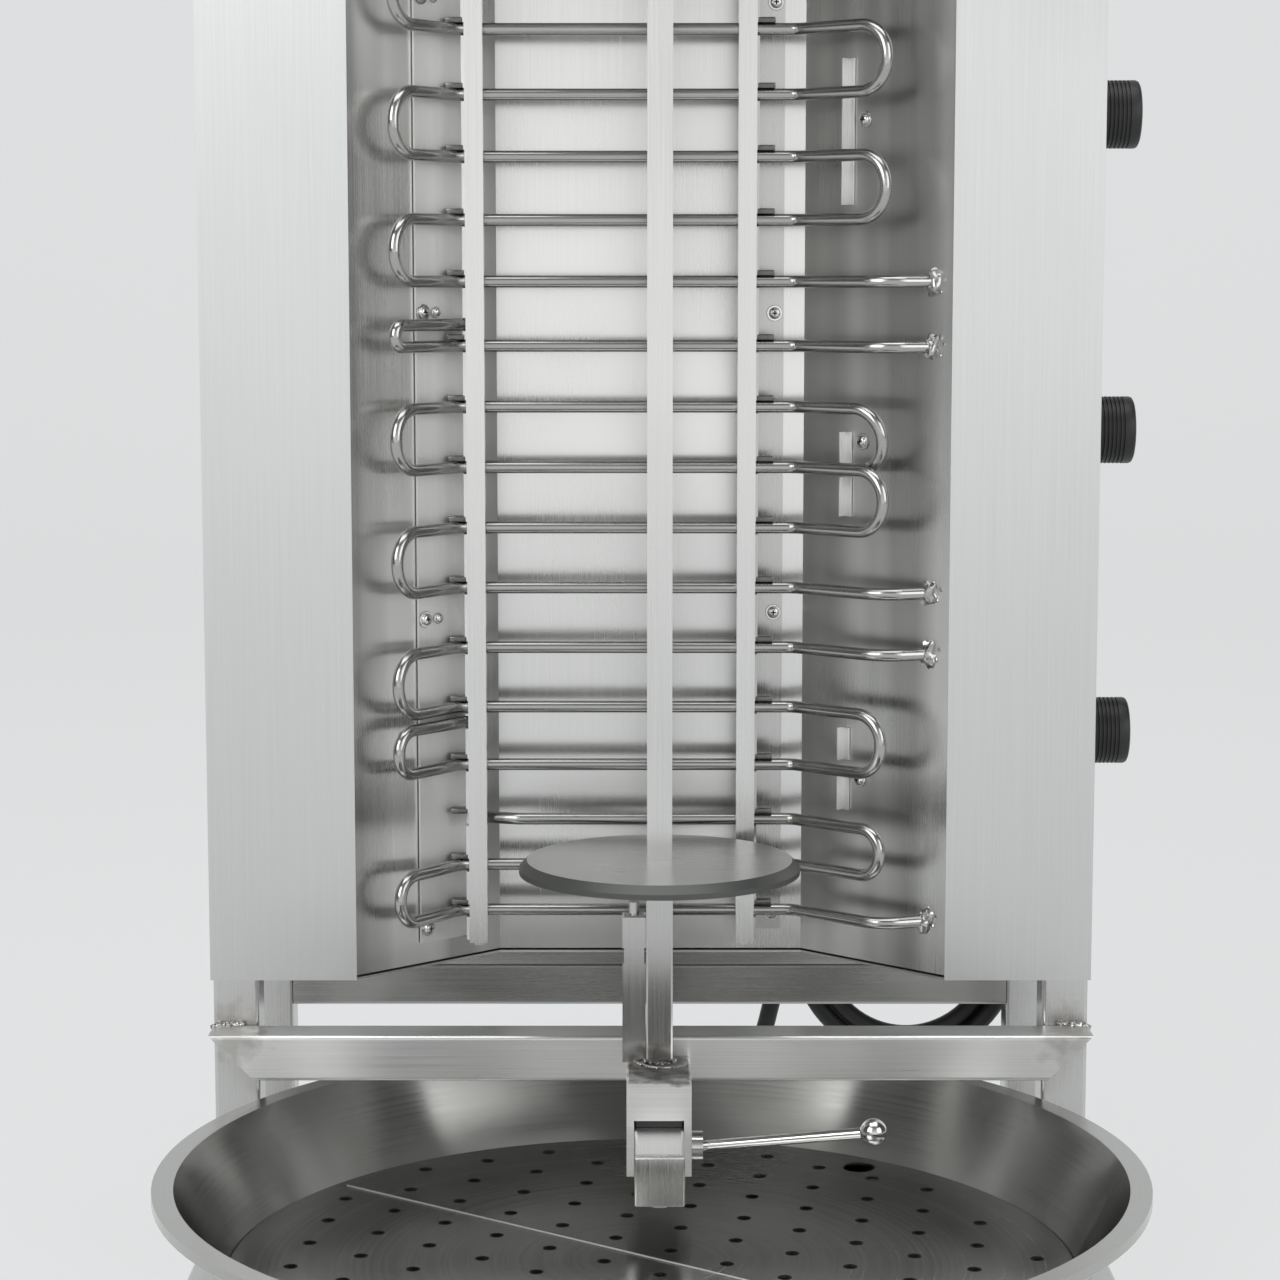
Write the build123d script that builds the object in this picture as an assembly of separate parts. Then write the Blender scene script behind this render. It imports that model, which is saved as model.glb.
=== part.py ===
from build123d import *
import math
import os

# Electric doner kebab grill, table-top, free-standing. Millimetres, +Z up, front towards -Y.
# While it is drawn, x = 0 is the cabinet's middle, y = 0 the front plane of the legs, z = 0 the table.

# Clearances
RUN_GAP = 0.3          # between bodies that slide or turn past each other
SHAFT_GAP = 0.05       # radial, a shaft in its bearing
SEAT_GAP = 0.2         # between pieces that are fixed side by side

# Square frame tube
TUBE = 30.0
TUBE_WALL = 1.5
TUBE_CORNER = 2.5

# Feet and base
FOOT_H = 20.0
FOOT_R = 17.0
FOOT_NARROW = 0.8      # radius at the table, as a share of FOOT_R
FOOT_TAPER = 7.0
BASE_FRONT = -420.0    # front end of the base rails
BASE_CROSS_FRONT = -330.0
BASE_CROSS_REAR = -40.0

# Cabinet
CAB_W = 580.0
CAB_H = 695.0
CAB_D = 224.0
SHEET = 1.5
OPENING_W = 387.0      # recess opening at the front
BACK_W = 206.0         # flat middle of the reflector
RECESS_D = 83.5
REFLECTOR_LIFT = 3.0   # dark gap under the reflector's lower edge
BOTTOM_T = 1.5
BEHIND_WING = 90.0     # width of the space behind a wing
LOUVRE_L = 90.0
LOUVRE_H = 6.0
LOUVRE_PITCH = 22.0
LOUVRE_TOP = 90.0      # first slot below the roof
LOUVRE_X = 110.0
LOUVRE_ROWS = 9
SCREW_R = 4.0
SCREW_H = 3.0
SCREW_ROUND = 1.4
COMB_SCREWS = (28.0, 235.0, 436.0, 640.0)   # above the cabinet's lower edge
COMB_SCREW_X = 13.0    # from the comb's web
COVER_SCREW_IN = 20.0
COVER_SCREW_UP = 30.0

# Crossbars
FRONT_BAR_DROP = 30.0  # top of the front crossbar below the cabinet's lower edge
REAR_BAR_DROP = 34.0
FRONT_BAR_HALF = 288.0

# Drip pan and strainer
PAN_D = 600.0
PAN_RIM = 11.5
PAN_H = 80.0
PAN_T = 1.5
PAN_LIP = 6.0
PAN_BOTTOM_D = 497.0
PAN_Y = -166.0         # centre of the pan from the leg plane
RIM_DROP = 77.0        # rim below the cabinet's lower edge
STRAINER_DROP = 57.0
STRAINER_T = 1.5
STRAINER_HOLE_D = 7.0
STRAINER_PITCH = 42.0
STRAINER_ROW = 40.0
STRAINER_SEAM = 0.8
SEAM_ANGLE = -36.3
FINGER_D = 22.0
HOLE_SIDES = 10
FINGER_AT = (140.0, 190.0)   # from the plate's centre

# Spit and meat disc
SPIT_X = 5.5
SPIT_Y = -44.0
SPIT_SIDE = 16.0
DISC_D = 180.0
DISC_T = 8.5
DISC_BEVEL = 5.0
DISC_TOP = 90.0        # above the cabinet's lower edge
PIVOT_D = 10.0
PIVOT_LEN = 24.0
PIVOT_ROOT = 1.0       # length of the pivot inside the bar
SPIT_TIP = 3.0
RING_D = 24.0
RING_T = 2.5

# Slide arm, carriage and its posts
ARM_SIDE = 31.0
ARM_X = 5.0
ARM_TOP_DROP = 72.0
ARM_REACH = 153.0
ARM_WALL = 2.5
SADDLE_W = 41.0
SADDLE_LEN = 68.0
SADDLE_TOP_DROP = 43.0
SADDLE_BLOCK_H = 24.0
SADDLE_CHAMFER = 1.5
SPACER_W = 28.0
WEAR_INSET = 3.0
WEAR_NARROW = 1.0
POST_SIDE = 17.0
POST_CHAMFER = 1.2
STEADY_SIDE = 15.0
STEADY_Y = -38.6
STEADY_TUBE_H = 65.0
STEADY_NECK_H = 10.0
STEADY_HEAD_H = 21.0
STEADY_NECK = (13.0, 11.0)
STEADY_CHAMFER = 1.0
STEADY_PIN_H = 8.0
STEADY_PIN_D = 7.0
BOLT_D = 8.0
BOLT_HEAD_R = 7.5
BOLT_HEAD_T = 6.0
BOLT_SETBACK = 16.0
BOLT_SPARE = 2.0       # shank beyond the arm's wall

# Clamp lever
LEVER_BOSS_D = 20.0
LEVER_BOSS_T = 7.0
LEVER_SETBACK = 14.0   # axis behind the saddle's front
LEVER_ROD_D = 7.0
LEVER_SPAN = (104.0, -45.0, 22.0)
BALL_D = 17.0
BALL_SEAT = 4.0        # rod inside the ball
BALL_GAP = 0.01
CLAMP_SCREW_D = 8.0

# Heating elements: heights of the rows above the cabinet's lower edge
ELEMENT_D = 8.0
ROWS_UPPER = (661.0, 620.0, 578.0, 538.0, 497.0, 457.0)
ROWS_MIDDLE = (415.0, 375.0, 335.0, 295.0, 255.0)
ROWS_LOWER = (215.0, 175.0, 136.0, 99.0, 68.0, 37.0)
ELEMENT_Y = 50.0       # middle runs behind the leg plane
LAYER = 8.7            # hidden runs lie this much further back
LEFT_BEND_X = -127.0
RIGHT_BEND_X = 95.0
LEFT_TIP = (-164.0, -2.0)
RIGHT_TIP = (150.0, 3.0)
BEND_R = 12.0
HIDDEN_X = -115.5
HOOK_RISE = 14.0       # the middle element's hidden leg above its first row
HOOK_FALL = 10.0       # the lower element's hidden leg below its second row
HIDDEN_BEND_R = 6.0
NOTCH_GAP = 0.3        # round a row in its comb
TERMINAL_KNEE = (150.0, 3.0)
TERMINAL_AT = (183.0, 13.0)
TERMINAL_TAIL = 24.0
COLLAR_D = 14.0
COLLAR_T = 7.0

# Guard bars and support combs
GUARD_W = 12.0
GUARD_T = 10.0
GUARD_LEFT_X = -115.0
GUARD_RIGHT_X = 63.0
GUARD_LOW = 17.0       # above the cabinet's lower edge
GUARD_HEAD = 12.0      # under the roof
GUARD_TAB = 3.0
GUARD_TAB_END = 14.0   # tab's end in front of the reflector
COMB_T = 2.0
COMB_FLANGE = 20.0
COMB_LEFT_FLANGE = 44.0
COMB_LEFT_X = -122.5
COMB_RIGHT_X = 70.0
CLIP_W = 11.0
CLIP_DEPTH = 8.0
CLIP_T = 3.0

# Knobs and rotary switches
KNOB_D = 44.0
KNOB_LEN = 27.0
KNOB_Y = 45.0
KNOB_HEIGHTS = (160.0, 360.0, 565.0)
KNOB_SKIRT = 6.0
KNOB_RINGS = 3
KNOB_RING = 5.0
KNOB_GROOVE = 0.8
KNOB_EDGE = 2.0
SPINDLE_D = 6.0
SPINDLE_HOLE_D = 8.0
SPINDLE_IN = 14.0
SWITCH_SIDE = 26.0
SWITCH_LEN = 34.0
SWITCH_H = 36.0

# Drive above the cabinet
RAIL_SIDE = 20.0
RAIL_SPACING = 110.0
RAIL_FRONT = -150.0
RAIL_BACK = 150.0
PLATE_T = 4.0
MOTOR_PLATE_W = 150.0
MOTOR_PLATE_LEN = 130.0
PLATE_FRONT = 45.0     # in front of the spit's axis
PLATE_LIP_T = 3.0
PLATE_LIP_CLEAR = 4.0  # lip's lower edge above the roof
PLATE_LIP_SEAT = 1.0
CASE_W = 106.0
CASE_LEN = 118.0
CASE_H = 42.0
CASE_T = 2.0
CASE_ROUND = 8.0
CASE_SHIFT = 16.0
MOTOR_D = 70.0
MOTOR_H = 62.0
MOTOR_ROUND = 6.0
MOTOR_SHAFT_D = 6.0
MOTOR_SHAFT_IN = 12.0
MOTOR_BORE_IN = 15.0
GEAR_MODULE = 1.25
WHEEL_TEETH = 48
PINION_TEETH = 12
GEAR_T = 8.0
GEAR_LIFT = 2.0        # above the plate
GEAR_BACKLASH = 0.5
DRIVE_SHAFT_D = 14.0
SOCKET_D = 32.0
SOCKET_LEN = 55.0
SOCKET_GRIP = 40.0     # length of spit inside the socket
SOCKET_SPARE = 2.0     # beyond the spit's tip

# Cord
CORD_D = 13.0
COIL_X = 193.0
COIL_DROP = 34.0       # centre of the coil below the cabinet's lower edge
COIL_MIN_R = 63.5
COIL_PITCH = 14.0
COIL_START = 180.0
COIL_END = 1243.0
COIL_CLIMB = 180.0
BOX_W = 110.0
BOX_H = 80.0
BOX_D = 36.0
BOX_DROP = -72.0       # terminal box's underside, above the cabinet's lower edge
GLAND_HEX = 24.0
GLAND_H = 16.0
RELIEF_H = 36.0
HOOK_D = 6.0
HOOK_RISE_END = 16.0
HOOK_LIFT = 1.5
BOX_ROUND = 4.0
BOX_WALL = 2.0
RELIEF_TOP_R = 9.5
RELIEF_WALL = 0.8
PLUG_D = 37.0
PLUG_LEN = 62.0
PIN_D = 4.8
PIN_LEN = 19.0
PIN_SPACING = 19.0
PLUG_NOSE = ((8.0, 0.0), (9.5, 16.0), (15.0, 26.0))   # radius and distance of the cord sleeve
PLUG_SHOULDER = 34.0
PLUG_X = -45.0
PLUG_Y = 276.0

# Places worked out from the sizes above
PAN_Z = FOOT_H + TUBE + RUN_GAP
CAB_Z = PAN_Z + PAN_H + RIM_DROP
CAB_TOP = CAB_Z + CAB_H
HALF_W = CAB_W / 2
HALF_OPEN = OPENING_W / 2
HALF_BACK = BACK_W / 2
LEG_X = HALF_W - SHEET - TUBE / 2
WING_ANGLE = math.atan2(RECESS_D - SHEET, HALF_OPEN - HALF_BACK)
ARM_TOP = CAB_Z - ARM_TOP_DROP
SADDLE_TOP = CAB_Z - SADDLE_TOP_DROP
SADDLE_Y0 = -TUBE - RUN_GAP - SADDLE_LEN
SADDLE_Y1 = -TUBE - RUN_GAP
DISC_Z = CAB_Z + DISC_TOP - DISC_T
RAIL_Z = CAB_TOP + SHEET
MOTOR_Z = RAIL_Z + RAIL_SIDE + RUN_GAP
SPIT_TOP = MOTOR_Z - SOCKET_LEN + SOCKET_GRIP
BACK_Y = CAB_D + SHEET
GLAND_Y = BACK_Y + BOX_D / 2
HOOK_Y = GLAND_Y + COIL_PITCH + CORD_D / 2 + HOOK_D
KNOB_END = HALF_W + RUN_GAP + KNOB_LEN
# The record's origin is the middle of the whole part without its cord, on the table
STEADY_X = SPIT_X - POST_SIDE / 2 - RUN_GAP - STEADY_SIDE / 2
SHIFT_X = -(KNOB_END - PAN_D / 2) / 2
SHIFT_Y = -(HOOK_Y + HOOK_D / 2 + PAN_Y - PAN_D / 2) / 2


def block(x0, x1, y0, y1, z0, z1):
    """Rectangular block between two corners."""
    return Pos((x0 + x1) / 2, (y0 + y1) / 2, (z0 + z1) / 2) * Box(x1 - x0, y1 - y0, z1 - z0)


def prism(points, z0, z1):
    """Upright prism over an outline in plan."""
    return Pos(0, 0, z0) * extrude(make_face(Polyline(*points, close=True)), z1 - z0)


def square_tube(start, end, side=TUBE, wall=TUBE_WALL):
    """Square tube with rounded corners from one point to another."""
    run = Vector(end) - Vector(start)
    across = (1, 0, 0) if abs(run.X) < 1 else (0, 1, 0)
    plane = Plane(origin=start, x_dir=across, z_dir=run)
    ring = RectangleRounded(side, side, TUBE_CORNER) - Rectangle(side - 2 * wall, side - 2 * wall)
    return extrude(plane * ring, run.length)


def rod(start, end, diameter):
    """Round bar between two points."""
    run = Vector(end) - Vector(start)
    return extrude(Plane(origin=start, z_dir=run) * Circle(diameter / 2), run.length)


def bent_tube(points, radii, diameter):
    """Round tube along straight runs with rounded corners."""
    path = FilletPolyline(*points, radius=radii)
    section = Plane(origin=path @ 0, z_dir=path % 0) * Circle(diameter / 2)
    return sweep(section, path=path)


def legs():
    """Front and rear legs, from the base rails up to the top plate."""
    low = FOOT_H + TUBE
    front_y = SHEET + TUBE / 2
    rear_y = CAB_D - TUBE / 2
    parts = {}
    for side, x in (("left", -LEG_X), ("right", LEG_X)):
        parts[f"front_leg_{side}"] = square_tube((x, front_y, low), (x, front_y, CAB_TOP))
        parts[f"rear_leg_{side}"] = square_tube((x, rear_y, low), (x, rear_y, CAB_TOP))
    return parts


def front_crossbar():
    """Bar in front of the legs, both ends cut back towards the bottom."""
    top = CAB_Z - FRONT_BAR_DROP
    z = top - TUBE / 2
    bar = square_tube((-FRONT_BAR_HALF, -TUBE / 2, z), (FRONT_BAR_HALF, -TUBE / 2, z))
    end = Polyline((FRONT_BAR_HALF, top), (FRONT_BAR_HALF - TUBE, top - TUBE),
                   (FRONT_BAR_HALF + TUBE, top - TUBE), close=True)
    wedge = extrude(Plane.XZ * make_face(end), TUBE)
    return bar - wedge - mirror(wedge, Plane.YZ)


def rear_crossbar():
    """Bar between the rear legs."""
    z = CAB_Z - REAR_BAR_DROP - TUBE / 2
    y = CAB_D - TUBE / 2
    reach = LEG_X - TUBE / 2
    return square_tube((-reach, y, z), (reach, y, z))


def base():
    """Base rails under the legs, the crossbars that carry the pan, and the feet."""
    z = FOOT_H + TUBE / 2
    parts = {}
    for side, x in (("left", -LEG_X), ("right", LEG_X)):
        parts[f"base_rail_{side}"] = square_tube((x, BASE_FRONT, z), (x, CAB_D, z))
    reach = LEG_X - TUBE / 2
    bars = [square_tube((-reach, y, z), (reach, y, z)) for y in (BASE_CROSS_FRONT, BASE_CROSS_REAR)]
    parts["base_crossbars"] = Compound(bars)
    foot = extrude(Circle(FOOT_R * FOOT_NARROW), FOOT_H, taper=-FOOT_TAPER)
    spots = [Pos(x, y, 0) for x in (-LEG_X, LEG_X) for y in (BASE_FRONT + TUBE, CAB_D - TUBE)]
    parts["feet"] = Compound([spot * foot for spot in spots])
    return parts


def side_panel():
    """Right side sheet with its wide front flange."""
    outline = [(HALF_W, 0), (HALF_W, CAB_D), (HALF_W - SHEET, CAB_D), (HALF_W - SHEET, SHEET),
               (HALF_OPEN, SHEET), (HALF_OPEN, 0)]
    panel = prism(outline, CAB_Z, CAB_TOP)
    for height in KNOB_HEIGHTS:
        panel -= Pos(HALF_W, KNOB_Y, CAB_Z + height) * Rot(0, 90, 0) * Cylinder(SPINDLE_HOLE_D / 2, 6 * SHEET)
    return panel


def plain_side_panel():
    """Left side sheet, without the knob holes."""
    outline = [(-HALF_W, 0), (-HALF_W, CAB_D), (SHEET - HALF_W, CAB_D), (SHEET - HALF_W, SHEET),
               (-HALF_OPEN, SHEET), (-HALF_OPEN, 0)]
    return prism(outline, CAB_Z, CAB_TOP)


def wing():
    """Right slanted sheet between the flange and the back reflector."""
    slant = SHEET / math.sin(WING_ANGLE)
    outline = [(HALF_OPEN, SHEET), (HALF_OPEN + slant, SHEET),
               (HALF_BACK + slant, RECESS_D), (HALF_BACK, RECESS_D)]
    return prism(outline, CAB_Z + REFLECTOR_LIFT, CAB_TOP)


def wing_right():
    """Right wing with the holes that the element ends pass through."""
    sheet = wing()
    for rows in (ROWS_UPPER, ROWS_MIDDLE, ROWS_LOWER):
        for height in (rows[0], rows[-1]):
            start, end = terminal_line(height)
            sheet -= rod(start, end, ELEMENT_D + 1)
    return sheet


def reflector():
    """Flat back of the recess."""
    reach = HALF_BACK + 4 * SHEET
    return block(-reach, reach, RECESS_D, RECESS_D + SHEET, CAB_Z + REFLECTOR_LIFT, CAB_TOP)


def bottom_plate():
    """Closes the cabinet from below, cut out for the recess and the legs."""
    inner = HALF_W - SHEET
    outline = [(-inner, SHEET), (-inner, CAB_D), (inner, CAB_D), (inner, SHEET),
               (HALF_OPEN, SHEET), (HALF_BACK, RECESS_D), (-HALF_BACK, RECESS_D), (-HALF_OPEN, SHEET)]
    plate = prism(outline, CAB_Z, CAB_Z + BOTTOM_T)
    for x in (-LEG_X, LEG_X):
        for y in (SHEET + TUBE / 2, CAB_D - TUBE / 2):
            plate -= Pos(x, y, CAB_Z) * Box(TUBE + 2 * SEAT_GAP, TUBE + 2 * SEAT_GAP, 3 * BOTTOM_T)
    return plate


def top_plate():
    """Roof of the cabinet, also over the recess."""
    return block(-HALF_W, HALF_W, 0, BACK_Y, CAB_TOP, CAB_TOP + SHEET)


def back_cover():
    """Rear sheet with two columns of louvre slots."""
    sheet = block(-HALF_W, HALF_W, CAB_D, BACK_Y, CAB_Z, CAB_TOP)
    slot = Rot(90, 0, 0) * extrude(SlotOverall(LOUVRE_L, LOUVRE_H), 4 * SHEET, both=True)
    for column in (-LOUVRE_X, LOUVRE_X):
        for row in range(LOUVRE_ROWS):
            sheet -= Pos(column, BACK_Y, CAB_TOP - LOUVRE_TOP - LOUVRE_PITCH * row) * slot
    return sheet


def forward_angle(side):
    """Angle at which the rows of one side come forward, away from the reflector."""
    tip, bend = (LEFT_TIP, LEFT_BEND_X) if side < 0 else (RIGHT_TIP, RIGHT_BEND_X)
    return math.atan2(ELEMENT_Y - tip[1], abs(tip[0] - bend))


def element_turn(side, high, low, high_layer=0, low_layer=0):
    """Two outer points of a turn between two rows."""
    x, y = LEFT_TIP if side < 0 else RIGHT_TIP
    back = LAYER / math.cos(forward_angle(side))
    return [(x, y + high_layer * back, CAB_Z + high), (x, y + low_layer * back, CAB_Z + low)]


def row_end(side, height, layer=0):
    """Corner where a row leaves the middle and starts to come forward."""
    bend = LEFT_BEND_X if side < 0 else RIGHT_BEND_X
    shift = layer * LAYER * math.tan(forward_angle(side) / 2)
    return (bend + side * shift, ELEMENT_Y + layer * LAYER, CAB_Z + height)


def terminal_line(height):
    """Straight end of an element: from its knee, through the right wing, into the cabinet."""
    knee = Vector(*TERMINAL_KNEE, CAB_Z + height)
    wall = Vector(*TERMINAL_AT, CAB_Z + height)
    return knee, wall + (wall - knee).normalized() * TERMINAL_TAIL


def terminal_end(height):
    """Points of an element from inside the cabinet to the start of its row."""
    knee, tail = terminal_line(height)
    return [tuple(tail), tuple(knee), row_end(1, height)]


def turn_radius(high, low, drift=0.0):
    """Nearly half of the distance between two rows."""
    return 0.48 * math.hypot(high - low, drift)


def upper_element():
    """Six rows in one plain serpentine, both ends at the right."""
    rows = ROWS_UPPER
    points = terminal_end(rows[0])
    radii = [2 * BEND_R, BEND_R]
    side = -1
    for high, low in zip(rows, rows[1:]):
        points += [row_end(side, high), *element_turn(side, high, low), row_end(side, low)]
        radii += [BEND_R, turn_radius(high, low), turn_radius(high, low), BEND_R]
        side = -side
    points += reversed(terminal_end(rows[-1]))
    radii += [BEND_R, 2 * BEND_R]
    return bent_tube(points, radii, ELEMENT_D)


def middle_element():
    """Five seen rows; a hidden run behind them joins the first row to the second."""
    one, two, three, four, five = ROWS_MIDDLE
    hook = one + HOOK_RISE
    drift = LAYER / math.cos(forward_angle(1))
    hidden_high = (HIDDEN_X, ELEMENT_Y + LAYER, CAB_Z + hook)
    hidden_low = (HIDDEN_X, ELEMENT_Y + LAYER, CAB_Z + three)
    points = terminal_end(one)
    radii = [2 * BEND_R, BEND_R]
    points += [row_end(-1, one), *element_turn(-1, one, hook), hidden_high, hidden_low]
    radii += [BEND_R, turn_radius(one, hook), turn_radius(one, hook), HIDDEN_BEND_R, HIDDEN_BEND_R]
    points += [row_end(1, three, 1), *element_turn(1, three, two, 1, 0), row_end(1, two)]
    radii += [BEND_R, turn_radius(two, three, drift), turn_radius(two, three, drift), BEND_R]
    points += [row_end(-1, two), *element_turn(-1, two, three), row_end(-1, three)]
    radii += [BEND_R, turn_radius(two, three), turn_radius(two, three), BEND_R]
    points += [row_end(1, three), *element_turn(1, three, four), row_end(1, four)]
    radii += [BEND_R, turn_radius(three, four), turn_radius(three, four), BEND_R]
    points += [row_end(-1, four), *element_turn(-1, four, five), row_end(-1, five)]
    radii += [BEND_R, turn_radius(four, five), turn_radius(four, five), BEND_R]
    points += reversed(terminal_end(five))
    radii += [BEND_R, 2 * BEND_R]
    return bent_tube(points, radii, ELEMENT_D)


def lower_element():
    """Six rows; the third turns up at the left and drops behind the guard bar to the fourth."""
    one, two, three, four, five, six = ROWS_LOWER
    rise = two - HOOK_FALL
    points = terminal_end(one)
    radii = [2 * BEND_R, BEND_R]
    points += [row_end(-1, one), *element_turn(-1, one, two), row_end(-1, two)]
    radii += [BEND_R, turn_radius(one, two), turn_radius(one, two), BEND_R]
    points += [row_end(1, two), *element_turn(1, two, three), row_end(1, three)]
    radii += [BEND_R, turn_radius(two, three), turn_radius(two, three), BEND_R]
    points += [row_end(-1, three), *element_turn(-1, three, rise)]
    radii += [BEND_R, turn_radius(three, rise), turn_radius(three, rise)]
    points += [(HIDDEN_X, ELEMENT_Y + LAYER, CAB_Z + rise), (HIDDEN_X, ELEMENT_Y + LAYER, CAB_Z + four)]
    radii += [HIDDEN_BEND_R, HIDDEN_BEND_R]
    points += [(HIDDEN_X + 3 * LAYER, ELEMENT_Y, CAB_Z + four)]
    radii += [BEND_R]
    points += [row_end(1, four), *element_turn(1, four, five), row_end(1, five)]
    radii += [BEND_R, turn_radius(four, five), turn_radius(four, five), BEND_R]
    points += [row_end(-1, five), *element_turn(-1, five, six), row_end(-1, six)]
    radii += [BEND_R, turn_radius(five, six), turn_radius(five, six), BEND_R]
    points += reversed(terminal_end(six))
    radii += [BEND_R, 2 * BEND_R]
    return bent_tube(points, radii, ELEMENT_D)


def terminal_collars():
    """Collars round the element ends, trimmed flush with the right wing."""
    behind = prism([(HALF_OPEN, SHEET), (HALF_OPEN + BEHIND_WING, SHEET), (HALF_BACK + BEHIND_WING, RECESS_D),
                    (HALF_BACK, RECESS_D)], CAB_Z, CAB_TOP)
    collars = []
    for rows in (ROWS_UPPER, ROWS_MIDDLE, ROWS_LOWER):
        for height in (rows[0], rows[-1]):
            knee, tail = terminal_line(height)
            along = (tail - knee).normalized()
            wall = Vector(*TERMINAL_AT, CAB_Z + height)
            ring = rod(wall - along * COLLAR_T, wall + along * COLLAR_T, COLLAR_D)
            ring -= rod(knee, tail, ELEMENT_D + SEAT_GAP)
            collars.append(ring - behind)
    return Compound([solid for ring in collars for solid in ring.solids()])


def guard_bar(x):
    """Square bar in front of the rows, with a small foot tab."""
    front = ELEMENT_Y - ELEMENT_D / 2 - SEAT_GAP - GUARD_T
    bar = block(x - GUARD_W / 2, x + GUARD_W / 2, front, front + GUARD_T, CAB_Z + GUARD_LOW,
                CAB_TOP - GUARD_HEAD)
    foot = block(x - GUARD_TAB, x + GUARD_TAB, front + GUARD_T - GUARD_TAB, RECESS_D - GUARD_TAB_END,
                 CAB_Z + GUARD_LOW - GUARD_TAB, CAB_Z + GUARD_LOW)
    return bar + foot


def comb(x, side, base_y, tilt, width, hidden=()):
    """Upright web with a notch for every row, an outward clip over each and a base flange of that width."""
    low = CAB_Z + GUARD_LOW
    high = CAB_TOP - GUARD_HEAD
    front = ELEMENT_Y - ELEMENT_D / 2
    half = ELEMENT_D / 2 + NOTCH_GAP
    rows = ROWS_UPPER + ROWS_MIDDLE + ROWS_LOWER
    web = block(x - COMB_T / 2, x + COMB_T / 2, front, base_y, low, high)
    for height in rows + hidden:
        z = CAB_Z + height
        depth = ELEMENT_D + (LAYER if height in hidden or side > 0 else 0) + NOTCH_GAP
        web -= block(x - COMB_T, x + COMB_T, front - 1, front + depth, z - half, z + half)
    flange = Pos(x, base_y, (low + high) / 2) * Rot(0, 0, tilt)
    flange *= Pos(side * (width - COMB_T) / 2, -COMB_T / 2, 0) * Box(width, COMB_T, high - low)
    edges = sorted((x, x + side * CLIP_W))
    clips = [block(*edges, front, front + CLIP_DEPTH, CAB_Z + height + half, CAB_Z + height + half + CLIP_T)
             for height in rows]
    return web + flange + clips


def combs():
    """Support combs: the right one on the back reflector, the left one on the left wing."""
    wing_y = RECESS_D - (-COMB_LEFT_X - HALF_BACK) * math.tan(WING_ANGLE)
    seat = COMB_T * math.tan(WING_ANGLE) / 2
    hidden = (ROWS_MIDDLE[0] + HOOK_RISE, ROWS_LOWER[1] - HOOK_FALL)
    left = comb(COMB_LEFT_X, -1, wing_y - seat - SEAT_GAP, math.degrees(WING_ANGLE), COMB_LEFT_FLANGE, hidden)
    return {"support_comb_right": comb(COMB_RIGHT_X, 1, RECESS_D, 0, COMB_FLANGE), "support_comb_left": left}


def panel_screws():
    """Pan-head screws of the combs and of the back cover."""
    head = extrude(Circle(SCREW_R), SCREW_H)
    head = fillet(head.edges().group_by(Axis.Z)[-1], SCREW_ROUND)
    screws = []
    for height in COMB_SCREWS:
        screws.append(Pos(COMB_RIGHT_X + COMB_SCREW_X, RECESS_D - COMB_T, CAB_Z + height) * Rot(90, 0, 0) * head)
    for height in (COVER_SCREW_UP, CAB_H / 2, CAB_H - COVER_SCREW_UP):
        for x in (COVER_SCREW_IN - HALF_W, HALF_W - COVER_SCREW_IN):
            screws.append(Pos(x, BACK_Y, CAB_Z + height) * Rot(-90, 0, 0) * head)
    return Compound(screws)


def slide_arm():
    """Square tube under the front crossbar that the carriage slides on."""
    z = ARM_TOP - ARM_SIDE / 2
    arm = square_tube((ARM_X, -ARM_REACH, z), (ARM_X, 0, z), side=ARM_SIDE, wall=ARM_WALL)
    hole = Cylinder((BOLT_D + SEAT_GAP) / 2, 3 * ARM_WALL)
    return arm - Pos(ARM_X, BOLT_SETBACK - ARM_REACH, ARM_TOP - ARM_SIDE) * hole


def arm_spacer():
    """Block that joins the arm to the crossbar."""
    return block(ARM_X - SPACER_W / 2, ARM_X + SPACER_W / 2, -TUBE, 0, ARM_TOP, CAB_Z - FRONT_BAR_DROP - TUBE)


def arm_bolt():
    """Stop bolt under the front end of the arm."""
    head = extrude(RegularPolygon(BOLT_HEAD_R, 6), -BOLT_HEAD_T)
    shank = extrude(Circle(BOLT_D / 2), ARM_WALL + BOLT_SPARE)
    return Pos(ARM_X, BOLT_SETBACK - ARM_REACH, ARM_TOP - ARM_SIDE) * (head + shank)


def carriage_saddle():
    """Saddle over the arm: upper block and two cheeks down to the arm's underside."""
    x0 = ARM_X - SADDLE_W / 2
    x1 = ARM_X + SADDLE_W / 2
    body = block(x0, x1, SADDLE_Y0, SADDLE_Y1, ARM_TOP - ARM_SIDE, SADDLE_TOP)
    body = chamfer(body.edges().filter_by(Axis.Y).group_by(Axis.Z)[-1], SADDLE_CHAMFER)
    half = ARM_SIDE / 2 + RUN_GAP
    channel = block(ARM_X - half, ARM_X + half, SADDLE_Y0 - 1, SADDLE_Y1 + 1, 0, SADDLE_TOP - SADDLE_BLOCK_H)
    screw_hole = Pos(x1, SADDLE_Y0 + LEVER_SETBACK, ARM_TOP - ARM_SIDE / 2) * Rot(0, 90, 0) * Cylinder(
        CLAMP_SCREW_D / 2 + SHAFT_GAP, SADDLE_W - ARM_SIDE)
    return body - channel - screw_hole


def wear_pad():
    """Slide pad between the block and the arm, set back from the block's front."""
    half = ARM_SIDE / 2 - WEAR_NARROW
    return block(ARM_X - half, ARM_X + half, SADDLE_Y0 + WEAR_INSET, SADDLE_Y1 - WEAR_INSET,
                 ARM_TOP + RUN_GAP, SADDLE_TOP - SADDLE_BLOCK_H)


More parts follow.
